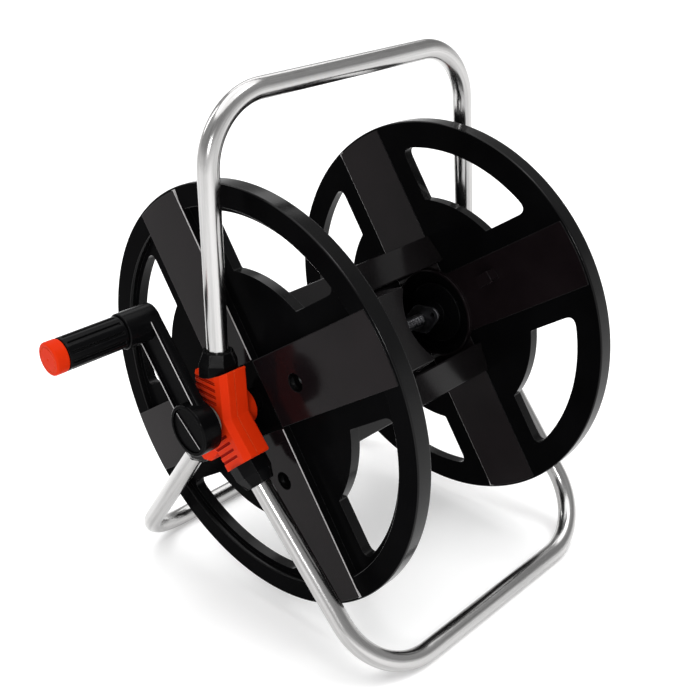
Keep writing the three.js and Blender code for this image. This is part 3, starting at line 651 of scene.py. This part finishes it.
def bent_tube(corners, bend_radius):
    """A hollow round tube whose UVs run round it (u) and along it (v, in decimetres)."""
    path = bent_path(corners, bend_radius)
    plane = (path[-1][0] - path[0][0]).cross(path[len(path) // 2][0] - path[0][0]).normalized()
    mesh = bpy.data.meshes.new("draft")
    tube = bmesh.new()
    uv = tube.loops.layers.uv.new("sweep")
    travelled = [0.0]
    for before, after in zip(path, path[1:]):
        travelled.append(travelled[-1] + (after[0] - before[0]).length / 100)
    walls = []
    for radius in (TUBE_R, TUBE_BORE_R):
        rings = []
        for point, along in path:
            across = along.cross(plane)
            rings.append([tube.verts.new(point + plane * radius * math.cos(a) + across * radius * math.sin(a))
                          for a in (2 * math.pi * s / TUBE_SEGMENTS for s in range(TUBE_SEGMENTS))])
        walls.append(rings)
        for k in range(len(rings) - 1):
            for s in range(TUBE_SEGMENTS):
                n = (s + 1) % TUBE_SEGMENTS
                face = tube.faces.new((rings[k][s], rings[k][n], rings[k + 1][n], rings[k + 1][s]))
                u0, u1 = s / TUBE_SEGMENTS, (s + 1) / TUBE_SEGMENTS
                ends = (travelled[k], travelled[k], travelled[k + 1], travelled[k + 1])
                for loop, u, v in zip(face.loops, (u0, u1, u1, u0), ends):
                    loop[uv].uv = (u, v)
    for end in (0, -1):
        outer, inner = walls[0][end], walls[1][end]
        for s in range(TUBE_SEGMENTS):
            n = (s + 1) % TUBE_SEGMENTS
            tube.faces.new((outer[s], outer[n], inner[n], inner[s]))
    bmesh.ops.recalc_face_normals(tube, faces=tube.faces)
    tube.to_mesh(mesh)
    tube.free()
    return add_object("draft", mesh)


class Socket:
    """Where a bent tube leaves both connectors: its corner, its angle and how far it leans in."""

    def __init__(self, place, corner_x, reach_y, reach_z):
        self.place = place
        self.corner = Vector((corner_x, reach_y, reach_z))
        self.angle = math.degrees(math.atan2(reach_z, reach_y))
        self.lean = math.degrees(math.atan2(FRAME_X - corner_x, math.hypot(reach_y, reach_z)))

    def path(self):
        start = Vector((FRAME_X, 0, 0))
        start += (self.corner - start).normalized() * TUBE_START
        mirrored = [Vector((-p.x, p.y, p.z)) for p in (start, self.corner)]
        return mirrored + [self.corner, start]

    def place_on(self, draft):
        """Moves a solid drawn along +X from the origin onto this socket's centre line, far side."""
        stand_up = Matrix.Rotation(math.radians(90), 4, "Z")
        lean = Matrix.Rotation(math.radians(self.lean), 4, "Z")
        aim = Matrix.Rotation(math.radians(self.angle), 4, "X")
        return moved(draft, Matrix.Translation((FRAME_X, 0, 0)) @ aim @ lean @ stand_up)


LEG_DROP = REAR_LOW.z + TUBE_R
TOP = Socket("top", HANDLE_X, HANDLE_LOW.y + TUBE_R, HANDLE_HIGH.z - TUBE_R - TOP_FACET)
FRONT = Socket("front", LEG_X, FRONT_LOW.y + TUBE_R + SIDE_FACET, LEG_DROP)
REAR = Socket("rear", LEG_X, REAR_HIGH.y - TUBE_R - SIDE_FACET, LEG_DROP)
SOCKETS = (TOP, FRONT, REAR)


def build_tubes():
    for node, socket, bend in (("handle_tube", TOP, HANDLE_BEND), ("front_leg_tube", FRONT, LEG_BEND),
                               ("rear_leg_tube", REAR, LEG_BEND)):
        finish(node, bent_tube(socket.path(), bend), "stand", "bright_tube", TUBE)


# ------------ side connectors
def edge_meeting(angle_a, half_a, angle_b, half_b):
    """Where one arm's left edge meets the next arm's right edge."""
    a, gap = math.radians(angle_a), math.radians(angle_b - angle_a)
    along = (half_b + half_a * math.cos(gap)) / math.sin(gap)
    return Vector((along * math.cos(a) - half_a * math.sin(a), along * math.sin(a) + half_a * math.cos(a)))


def connector_outline(grow=0.0, longer=0.0):
    """Three arms, the top one ending in a saddle; `longer` arms all have straight ends."""
    arms = [(REAR, LEG_ARM_HALF + grow), (TOP, TOP_ARM_HALF + grow), (FRONT, LEG_ARM_HALF + grow)]
    points = []
    for i, (socket, half) in enumerate(arms):
        along = polar(1, socket.angle)
        across = Vector((-along.y, along.x))
        tip = along * (ARM_LENGTH + grow + longer)
        first, last = tip - across * half, tip + across * half
        if socket is TOP and not longer:
            first -= along * REAR_DROP
            last += along * HORN_RISE
            points.append(first)
            points += curve_through(first, tip - along * SADDLE, last, 14)
        else:
            points += [first, last]
        following, following_half = arms[(i + 1) % 3]
        points.append(edge_meeting(socket.angle, half, following.angle, following_half))
    return soften(points, ARM_CORNER_R, 5)


def socket_bores():
    """Cutters for the three tubes and the bush; like all cutters, they run past the faces they cut."""
    tools = [socket.place_on(drill(SOCKET_R, TUBE_START - 1, ARM_LENGTH + 8)) for socket in SOCKETS]
    return tools + [drill(BUSH_R + FIT, BOSS_IN - 5, SHELL_OUT + 5)]


def screw_spots():
    return [(socket, polar(TUBE_SCREW_AT, socket.angle)) for socket in SOCKETS]


def groove_tools():
    """Short round-ended grooves across the top and front arms, open at their rear edge."""
    tools = []
    for socket, sign in ((TOP, -1), (FRONT, 1)):
        for i in range(GROOVE_COUNT):
            at = GROOVE_FIRST + GROOVE_PITCH * i
            middle = sign * GROOVE_SHIFT
            outline = soften(rectangle(at - GROOVE_WIDTH / 2, at + GROOVE_WIDTH / 2,
                                       middle - GROOVE_LENGTH / 2, middle + GROOVE_LENGTH / 2), 0.7, 4)
            tools.append(turn_x(prism(outline, SHELL_OUT - GROOVE_DEPTH, SHELL_OUT + 1, 0.4), socket.angle))
    return tools


def groove_face(centre, normal):
    """1 in the grooves, whose faces stand or lie flat just under the outer face and take the painted shade; 0
    elsewhere.
    """
    below = SHELL_OUT - GROOVE_DEPTH - 0.05 < centre.x < SHELL_OUT - 0.1
    return int(below and not 0.3 < abs(normal.x) < 0.98)


def build_connector(label, side):
    outline = connector_outline()
    parting = SHELL_SPLIT + FIT / 2
    outer = prism(connector_outline(0, RUN_OUT), parting, SHELL_OUT, 0.12, chamfer(3.6, 0.9))
    outer = keep_inside(outer, prism(outline, parting - 1, SHELL_OUT + 1))
    outer = cut(outer, *socket_bores(), *groove_tools())
    # the groove faces get the darker red, painted shade
    sort_faces(outer, groove_face)
    finish(f"{label}_shell_outer", on_side(outer, side), "stand", "red_plastic", RED, GROOVE_SHADE)

    boss = turned_part(rod(BOSS_IN, SHELL_IN + 4, BOSS_R), 0.8)
    inner = fuse(prism(outline, SHELL_IN, SHELL_SPLIT - FIT / 2, 1.8, 0.12), boss)
    wells = [turned_part(rod(SHELL_IN - 1, SHELL_IN + TUBE_WELL_DEPTH, TUBE_WELL_R), 0.3, 40, *spot)
             for _, spot in screw_spots()]
    finish(f"{label}_shell_inner", on_side(cut(inner, *socket_bores(), *wells), side), "stand",
           "red_plastic", RED)
    for socket, spot in screw_spots():
        head = screw(SHELL_IN + FIT, -1, TUBE_SCREW_R, TUBE_SCREW_DEPTH, *spot)
        finish(f"{label}_tube_screw_{socket.place}", on_side(head, side), "stand", "zinc_steel", ZINC)
        finish(f"{label}_collar_{socket.place}", on_side(collar(socket), side), "stand", "dark_plastic",
               RING if socket is TOP else DARK)


def collar(socket):
    """Eight-sided ring that closes the mouth of an arm round its tube, fitted to the arm's end."""
    end = TOP_COLLAR_END if socket is TOP else COLLAR_END
    start = ARM_LENGTH - COLLAR_SINK - (SADDLE * 0.6 if socket is TOP else 0)
    octagon = [polar(COLLAR_R, 22.5 + 45 * i) for i in range(8)]
    shoulder = end - (end - start) * COLLAR_SLOPE
    profile = soften([(start, COLLAR_R), (shoulder, COLLAR_R * 0.97), (end, COLLAR_TIP_R + 0.8),
                      (end, COLLAR_TIP_R), (start, COLLAR_TIP_R)], 2.2, 6)
    rings = sorted((p.x, COLLAR_R - p.y) for p in profile if p.y > COLLAR_TIP_R + 1e-3)
    sleeve = loft(soften(octagon, 1.0, 3, 20), rings)
    bore = drill(SOCKET_R - 0.35, start - 5, end + 5)
    ring = socket.place_on(cut(sleeve, bore))
    return cut(ring, prism(connector_outline(COLLAR_GAP), SHELL_IN - 6, SHELL_OUT + 6))


def screw(face, out, radius, depth, y=0.0, z=0.0, turn=45.0):
    """Pan-head screw along X whose head faces `out`; a cross recess is cut in its crowned face."""
    profile = [(-depth, 0), (-depth, radius), (-SCREW_CROWN, radius)]
    profile += [(-SCREW_CROWN * (1 - math.sin(a)), radius * math.cos(a)) for a in (0.35, 0.7, 1.05, 1.35)]
    profile += [(0, 0)]
    head = lathe(profile, 48)
    arm, half = radius * 0.62, radius * 0.13
    for angle in (turn, turn + 90):
        bar = turned(soften(rectangle(-arm, arm, -half, half), half * 0.6, 3), angle)
        head = cut(head, prism(bar, -depth * 0.55, 1))
    head = head if out > 0 else moved(head, Matrix.Diagonal((-1, 1, 1, 1)))
    return moved(head, Matrix.Translation((face, y, z)))


def build_inlet():
    """Threaded inlet with a flange against the connector and a waterway from end to end."""
    flange_end = INLET_START + INLET_FLANGE_DEPTH
    pocket_end = INLET_START + INLET_POCKET_DEPTH
    core_end, core_r = INLET_END - 0.5, INLET_THREAD_R - 1.2
    body = turned_part([(INLET_START, INLET_POCKET_R), (INLET_START, INLET_FLANGE_R),
                        (flange_end, INLET_FLANGE_R), (flange_end + 1.4, core_r),
                        (core_end, core_r), (core_end, INLET_BORE_R),
                        (pocket_end, INLET_BORE_R), (pocket_end, INLET_POCKET_R)], 0.5)
    spiral = thread(INLET_START + INLET_THREAD_AT, INLET_END, INLET_THREAD_R - 1.3, INLET_THREAD_R,
                    INLET_PITCH, INLET_BORE_R + 3, 72, 10, 1.6)
    notch = rectangle(INLET_FLANGE_R - 1, INLET_FLANGE_R + 2, -1.6, 1.6)
    notches = [turn_x(prism(notch, INLET_START - 1, flange_end + 1, 0.4, 0.4), 360 / INLET_FLATS * i)
               for i in range(INLET_FLATS)]
    finish("inlet_fitting", cut(fuse(body, spiral), *notches), "stand", "dark_plastic", DARK)


# ------------ drum
def window(angle):
    """Opening between two spokes: arcs about the axle, sides parallel to the spokes."""
    shoulder, ease = WINDOW_OUT_R - WINDOW_SHOULDER, WINDOW_EASE
    outer, inner, shoulder_at = (math.degrees(math.asin(SPOKE_HALF / radius))
                                 for radius in (WINDOW_OUT_R, WINDOW_IN_R, shoulder))
    points = arc(WINDOW_IN_R, angle + inner, angle + 90 - inner, 30)
    points.append(polar(shoulder, angle + 90 - shoulder_at))
    points += curve_through(points[-1], polar(WINDOW_OUT_R, angle + 90 - outer),
                            polar(WINDOW_OUT_R, angle + 90 - outer - ease), 8)
    points += arc(WINDOW_OUT_R, angle + 90 - outer - ease, angle + outer + ease, 44)[1:]
    points += curve_through(points[-1], polar(WINDOW_OUT_R, angle + outer),
                            polar(shoulder, angle + shoulder_at), 8)
    return soften(points, 2.0, 4, 25)


def spoke_panel(angle):
    """Raised strip that runs the length of a spoke and ends in an arc on the rim."""
    half_turn = math.degrees(math.asin(PANEL_HALF / PANEL_END_R))
    outline = [(PANEL_START_R, PANEL_HALF), (PANEL_START_R, -PANEL_HALF)]
    outline += arc(PANEL_END_R, -half_turn, half_turn, 16)
    return prism(turned(soften(outline, 0.6, 3, 40), angle), PANEL_IN, PANEL_OUT, 0.45, 0.6)


def flange_face(centre, normal, side):
    """0 web, 1 spoke panel, 2 walls that stand along the axle, 3 a painted highlight line on the lit edge of
    panels a and c.
    """
    for letter in ("a", "c"):
        spoke = polar(1, SPOKES[letter])
        along = centre.y * spoke.x + centre.z * spoke.y
        across = centre.z * spoke.x - centre.y * spoke.y
        # on spokes a and c the panel edge on the lit side gets a painted highlight line
        lit = -side if letter == "a" else side
        on_edge = PANEL_HALF - HIGHLIGHT_LINE_WIDTH < across * lit < PANEL_HALF + 0.01
        proud = abs(centre.x - FLANGE_MIDDLE) > RIM_DEPTH / 2
        if on_edge and proud and SCREW_RADIUS < along < PANEL_END_R - 1:
            return 3
    if centre.x > PANEL_OUT - 0.2 or centre.x < PANEL_IN + 0.1:
        return 1
    return 0 if abs(normal.x) > 0.9 else 2


def build_flange(label, side):
    disc = prism(arc(RIM_INNER_R + 4, 0, 360, 180)[:-1], FLANGE_IN, WEB_OUT, 0, 0)
    disc = cut(disc, *[prism(window(angle), FLANGE_IN - 1, WEB_OUT + 1) for angle in SPOKES.values()])
    rim = soften(rectangle(FLANGE_IN, RIM_OUT, RIM_INNER_R, FLANGE_R), 1.5, 6)
    draft = fuse(disc, lathe([tuple(p) for p in rim], 240))
    draft = fuse(draft, *[spoke_panel(angle) for angle in SPOKES.values()])
    draft = cut(draft, drill(HUB_RECESS_R + 0.6, FLANGE_IN - 8, HUB_FLOOR, segments=96))
    ring = turned_part(rectangle(HUB_RING_X, HUB_FLOOR + 0.5, HUB_RECESS_R, HUB_RING_R), 0.7, 128)
    draft = cut(fuse(draft, ring), drill(BORE_R, FLANGE_IN - 8, PANEL_OUT + 5))
    draft = cut(draft, *[drill(SLAT_WELL_R, SLAT_WELL_FLOOR, PANEL_OUT + 5, *polar(SCREW_RADIUS, angle), 48)
                         for angle in SPOKES.values()])
    if side == FAR:
        half = LUG_WIDTH / 2
        lug = rectangle(LUG_RADIUS - LUG_LENGTH / 2, LUG_RADIUS + LUG_LENGTH / 2, -half, half)
        lug = turned(soften(lug, 1.2, 4), SPOKES["b"] + LUG_TURN)
        draft = fuse(draft, prism(lug, LUG_X, FLANGE_IN + 1, 0.6))
    sort_faces(draft, lambda centre, normal: flange_face(centre, normal, side))
    finish(f"{label}_flange", on_side(draft, side), "drum", "black_gloss", WEB, PANEL, WALL, PAINTED_HIGHLIGHT)
    for letter, angle in SPOKES.items():
        spot = polar(SCREW_RADIUS, angle)
        head = screw(WEB_OUT - FIT, 1, SLAT_SCREW_R, SLAT_SCREW_DEPTH, *spot, angle + 20)
        finish(f"{label}_slat_screw_{letter}", on_side(head, side), "drum", "zinc_steel", ZINC)


def slat_outline():
    """Channel section of a core slat on a spoke that points along +y."""
    outline = [(SLAT_FOOT, -SLAT_FOOT_HALF), (SLAT_FACE, -SLAT_HALF), (SLAT_FACE, SLAT_HALF),
               (SLAT_FOOT, SLAT_FOOT_HALF), (SLAT_FOOT, SLAT_FOOT_HALF - SLAT_WALL),
               (SLAT_FACE - SLAT_WALL, SLAT_HALF - SLAT_WALL), (SLAT_FACE - SLAT_WALL, SLAT_WALL - SLAT_HALF),
               (SLAT_FOOT, SLAT_WALL - SLAT_FOOT_HALF)]
    return soften(outline, 1.1, 4)


def build_slats():
    for letter, angle in SPOKES.items():
        short = letter == "b"
        slat = prism(slat_outline(), -SLAT_END, CUT_SLAT_END if short else SLAT_END, 0.3, 0.5)
        if short:
            cutter = drill(CUT_RADIUS, -2 * SLAT_FACE, 2 * SLAT_FACE, segments=120)
            moved(cutter, Matrix.Translation((CUT_CENTRE_X, 0, 0)) @ Matrix.Rotation(math.pi / 2, 4, "Z"))
            slat = cut(slat, cutter)
        finish(f"core_slat_{letter}", turn_x(slat, angle), "drum", "black_gloss", SLAT)


def build_axles():
    """Solid stub on the crank side, hollow spindle on the water side, each with a disc in the hub."""
    disc_face = HUB_FLOOR - FIT
    disc_back = disc_face - DISC_DEPTH
    near = turned_part([(AXLE_END, 0), (AXLE_END, SHAFT_R), (disc_face, SHAFT_R), (disc_face, DISC_R),
                        (disc_back, DISC_R), (disc_back, NOSE_R), (AXLE_TIP, NOSE_R), (AXLE_TIP, 0)], 0.8)
    finish("near_axle", on_side(near, NEAR), "drum", "dark_plastic", DARK)
    far = turned_part([(AXLE_TIP, WATERWAY_R), (AXLE_TIP, SPINDLE_NOSE_R), (disc_back, SPINDLE_NOSE_R),
                       (disc_back, DISC_R), (disc_face, DISC_R), (disc_face, SHAFT_R),
                       (SPINDLE_STEP, SHAFT_R), (SPINDLE_STEP, SPINDLE_END_R), (SPINDLE_END, SPINDLE_END_R),
                       (SPINDLE_END, WATERWAY_R)], 0.8)
    finish("far_spindle", far, "drum", "dark_plastic", DARK)


def plate_outline():
    """Lozenge with round tips and slightly bulging waists."""
    tip, shoulder, shoulder_half, waist, waist_half, bulge = 20.5, 16, 6.2, 4, 11.4, 13
    quarter = [Vector((0, tip))] + curve_through((0, tip), (shoulder_half - 2, tip - 0.5),
                                                 (shoulder_half, shoulder), 6)
    side = [Vector((waist_half, waist))] + curve_through((waist_half, waist), (bulge, 0),
                                                         (waist_half, -waist), 8)
    half = quarter + side + [Vector((p.x, -p.y)) for p in quarter[:0:-1]]
    return half + [-p for p in half]


def build_tail():
    """Threaded tail that the hose is clamped on, with its plate and lock nut."""
    shank_from = PLATE_X[0] - 1.5
    rod = thread(TAIL_START, shank_from + 0.5, TAIL_ROOT_R, TAIL_TIP_R, TAIL_PITCH, TAIL_BORE_R, 48, 12, 1.2)
    shank = turned_part(rectangle(shank_from, TAIL_END, TAIL_BORE_R, TAIL_SHANK_R), 0.3, 48)
    finish("hose_tail", fuse(rod, shank), "drum", "zinc_steel", DARK_ZINC)
    plate = prism(plate_outline(), *PLATE_X, 0.5, 0.5)
    holes = [drill(PLATE_HOLE_R, *PAST_PLATE)]
    holes += [drill(BOLT_HOLE_R, *PAST_PLATE, 0, z, 32) for z in (BOLT_AT, -BOLT_AT)]
    finish("tail_clamp_plate", turn_x(cut(plate, *holes), PLATE_TURN), "drum", "zinc_steel", DARK_ZINC)
    hexagon = soften([polar(NUT_R, 60 * i) for i in range(6)], 0.5, 3)
    nut = cut(prism(hexagon, *NUT_X, 0.5, 0.5), drill(PLATE_HOLE_R, *PAST_PLATE))
    finish("tail_lock_nut", nut, "drum", "zinc_steel", DARK_ZINC)


# ------------ crank and grip, drawn at positive x
def arm_outline(start_r, end_r):
    """Tapered bar with round ends, from the hub centre along +y to the grip centre."""
    lean = math.degrees(math.acos((start_r - end_r) / CRANK_RADIUS))
    return arc(start_r, lean, 360 - lean, 30) + arc(end_r, -lean, lean, 24, (CRANK_RADIUS, 0))


def crank_face(centre, normal):
    """0 sides, 1 faces turned away from the drum, 2 the crests of the two ridges, which carry a painted
    highlight line.
    """
    crest = ARM_FRONT - 0.4 < centre.x < ARM_FRONT + 0.5
    on_ridge = abs(abs(centre.z) - RIDGE_AT) < RIDGE_HALF + 0.01
    if crest and on_ridge and HUB_R < centre.y < CRANK_RADIUS - GRIP_BOSS_R:
        return 2
    return int(normal.x > 0.9)


def build_crank():
    arm = prism(arm_outline(ARM_HALF, GRIP_BOSS_R), ARM_BACK, ARM_FLOOR + 0.9, 1.2, rounding(2.4, 6))
    floor = soften(rectangle(HUB_R - 4, CRANK_RADIUS - 4, -RIDGE_AT, RIDGE_AT), 1, 3)
    arm = cut(arm, prism(floor, ARM_FLOOR, ARM_FRONT + 2, 0.5))
    for z in (RIDGE_AT, -RIDGE_AT):
        ridge = rectangle(HUB_R - 6, CRANK_RADIUS - 3, z - RIDGE_HALF, z + RIDGE_HALF)
        arm = fuse(arm, prism(ridge, ARM_FLOOR - 1, ARM_FRONT, 0, 0.35))
    hub = turned_part(rod(HUB_BACK, HUB_FRONT, HUB_R), 1.2, 128)
    boss = turned_part(rod(ARM_BACK, BOSS_FRONT, GRIP_BOSS_R), 0.9, 96, CRANK_RADIUS)
    arm = fuse(arm, hub, boss)
    cup = turned_part(rod(HUB_FRONT - CUP_DEPTH, HUB_FRONT + 1, CUP_R), 0.4, 128)
    arm = cut(arm, cup, drill(CRANK_WELL_R, HUB_FRONT - CRANK_WELL_DEPTH, HUB_FRONT),
              drill(GRIP_BORE_R - 0.1, BOSS_FRONT - PIN_SEAT, BOSS_FRONT + 1, CRANK_RADIUS))
    sort_faces(arm, crank_face)
    finish("crank_arm", on_side(turn_x(arm, CRANK_TURN), NEAR), "drum", "dark_plastic", DARK, FACE, PAINTED_HIGHLIGHT)

    plate = turned_part(rod(CAP_BACK, CAP_FACE, CAP_R), 0.5, 128)
    rib = soften(rectangle(1 - CAP_R, CAP_R - 1, -RIB_HALF, RIB_HALF), 0.3, 4)
    cap = fuse(plate, prism(rib, CAP_BACK + 1, CAP_FACE + RIB_RISE, 0, 0.2))
    # the rib's top gets a painted highlight line
    sort_faces(cap, lambda centre, normal: 2 if centre.x > CAP_FACE + 0.5 else int(normal.x > 0.9))
    finish("crank_hub_cap", on_side(turn_x(cap, RIB_TURN), NEAR), "drum", "black_gloss", DARK, FACE, PAINTED_HIGHLIGHT)
    head = screw(span("crank_screw", NEAR)[1], 1, CRANK_SCREW_R, CRANK_SCREW_DEPTH)
    finish("crank_screw", on_side(head, NEAR), "drum", "zinc_steel", ZINC)


def grip_outline():
    """Crowned lands with narrow grooves between them."""
    points = []
    land = 360 / FLUTES
    for i in range(FLUTES):
        centre = land * i
        points += [polar(GRIP_R - 0.22 * (t / 13) ** 2, centre + t) for t in (-13, -8, -3, 3, 8, 13)]
        points += [polar(GRIP_R - 1.5, centre + 15), polar(GRIP_R - 1.5, centre + 21)]
    return soften(points, 0.45, 3, 25)


def build_grip():
    sleeve = cut(prism(grip_outline(), GRIP_START, GRIP_END, 0.8, 0.5), drill(GRIP_BORE_R, *PAST_GRIP))
    # smooth bands close the flutes at both ends
    for x0, x1 in ((GRIP_START, GRIP_START + GRIP_BAND), (GRIP_END - GRIP_BAND, GRIP_END)):
        sleeve = fuse(sleeve, turned_part(rectangle(x0, x1, GRIP_BORE_R, GRIP_R - 0.15), 0.5))
    at_grip = Matrix.Translation((0, GRIP_Y, GRIP_Z))
    finish("grip_sleeve", moved(on_side(sleeve, NEAR), at_grip), "grip", "dark_plastic", DARK)
    end_cap = turned_part(rod(GRIP_END + FIT, END_CAP_END, GRIP_R), 1.5)
    groove = rectangle(END_CAP_END - 0.5, END_CAP_END + 1, END_GROOVE_IN_R, END_GROOVE_OUT_R)
    end_cap = cut(end_cap, turned_part(groove, 0.15))
    finish("grip_end_cap", moved(on_side(end_cap, NEAR), at_grip), "grip", "red_plastic", RED)


def dress_hidden_nodes():
    """CAD nodes whose shape is right as it is, each with a procedural material."""
    for node, look in (("near_bush", PALE), ("far_bush", PALE), ("spindle_seal", RUBBER), ("grip_pin", ZINC)):
        piece = frame["nodes"][node]
        piece.data.materials.clear()
        piece.data.materials.append(look)


# ------------ camera, floor and light
CAMERA_SPOT = (-525.2, -533.8, 341.3)  # millimetres about the axle
CAMERA_AZIMUTH, CAMERA_DIP, CAMERA_ROLL = 44.19, 24.45, -3.64
CAMERA_LENS, CAMERA_SENSOR = 54.09, 36.0
FLOOR_HALF = 12.0
LIGHT_TARGET = (0, 0, 0.2)
SOFT_LIGHTS = (  # name, place, size, power
    ("key", (-1.5, -1.15, 0.95), (0.28, 0.28), 9),
    ("side", (-0.6, 1.6, 1.4), (0.3, 0.9), 5),
    ("top", (0.3, -0.6, 2.0), (0.6, 0.4), 7),
    ("back", (1.2, 1.5, 1.95), (1.8, 0.8), 8),
)
OVERHEAD_POWER, OVERHEAD_SPREAD = 2.1, 70
ROOM_STOPS = ((0.0, 1.9), (0.12, 1.9), (0.3, 0.8), (0.5, 0.8), (1.0, 1.05))  # sine of elevation, level
ROOM_STRENGTH = 0.5


def aim_camera():
    data = bpy.data.cameras.new("camera")
    data.lens, data.sensor_width = CAMERA_LENS, CAMERA_SENSOR
    azimuth, dip, roll = (math.radians(a) for a in (CAMERA_AZIMUTH, CAMERA_DIP, CAMERA_ROLL))
    forward = Vector((math.sin(azimuth) * math.cos(dip), math.cos(azimuth) * math.cos(dip), -math.sin(dip)))
    level = forward.cross(Vector((0, 0, 1))).normalized()
    upright = level.cross(forward)
    right = level * math.cos(roll) + upright * math.sin(roll)
    up = upright * math.cos(roll) - level * math.sin(roll)
    camera = add_object("camera", data)
    turn = Matrix((right, up, -forward)).transposed().to_4x4()
    camera.matrix_world = Matrix.Translation(TO_FRAME @ Vector(CAMERA_SPOT)) @ turn
    bpy.context.scene.camera = camera


def lay_floor():
    corners = [(y, z, 0) for y, z in rectangle(-FLOOR_HALF, FLOOR_HALF, -FLOOR_HALF, FLOOR_HALF)]
    mesh = bpy.data.meshes.new("floor")
    mesh.from_pydata(corners, [], [(0, 1, 2, 3)])
    floor = add_object("floor", mesh)
    look = Look("floor_paper", Specular_IOR_Level=0.1)
    look.base((0.93, 0.93, 0.93, 1))
    look.shader.inputs["Emission Color"].default_value = (1, 1, 1, 1)
    look.shader.inputs["Emission Strength"].default_value = 0.18
    look.rough(look.spread(look.noise(3.0), 0.3, 0.7, 0.8, 0.95))
    mesh.materials.append(look.material)


def soft_light(name, spot, size, power):
    data = bpy.data.lights.new(name, "AREA")
    data.shape = "RECTANGLE"
    data.size, data.size_y = size
    data.energy = power
    light = add_object(name, data)
    aim = Vector(LIGHT_TARGET) - Vector(spot)
    light.matrix_world = Matrix.Translation(spot) @ aim.to_track_quat("-Z", "Y").to_matrix().to_4x4()


def light_studio():
    """A pale room, brightest at the horizon, with four soft lights and a broad one overhead."""
    world = bpy.data.worlds.new("studio")
    bpy.context.scene.world = world
    world.use_nodes = True
    nodes, links = world.node_tree.nodes, world.node_tree.links
    direction = nodes.new("ShaderNodeTexCoord").outputs["Generated"]
    split = nodes.new("ShaderNodeSeparateXYZ")
    links.new(direction, split.inputs[0])
    ramp = nodes.new("ShaderNodeValToRGB")
    for i, (at, level) in enumerate(ROOM_STOPS):
        stop = ramp.color_ramp.elements[i] if i < 2 else ramp.color_ramp.elements.new(at)
        stop.position = at
        stop.color = (level, level, level, 1)
    links.new(split.outputs["Z"], ramp.inputs["Fac"])
    background = nodes["Background"]
    links.new(ramp.outputs["Color"], background.inputs["Color"])
    background.inputs["Strength"].default_value = ROOM_STRENGTH
    for light in SOFT_LIGHTS:
        soft_light(*light)
    sky = bpy.data.lights.new("sky", "SUN")
    sky.energy = OVERHEAD_POWER
    sky.angle = math.radians(OVERHEAD_SPREAD)
    add_object("sky", sky)


# ------------ the whole reel
aim_camera()
bpy.context.scene.view_settings.view_transform = "Standard"
lay_floor()
light_studio()
build_tubes()
for label, side in SIDES:
    build_connector(label, side)
    build_flange(label, side)
build_inlet()
build_slats()
build_axles()
build_tail()
build_crank()
build_grip()
dress_hidden_nodes()
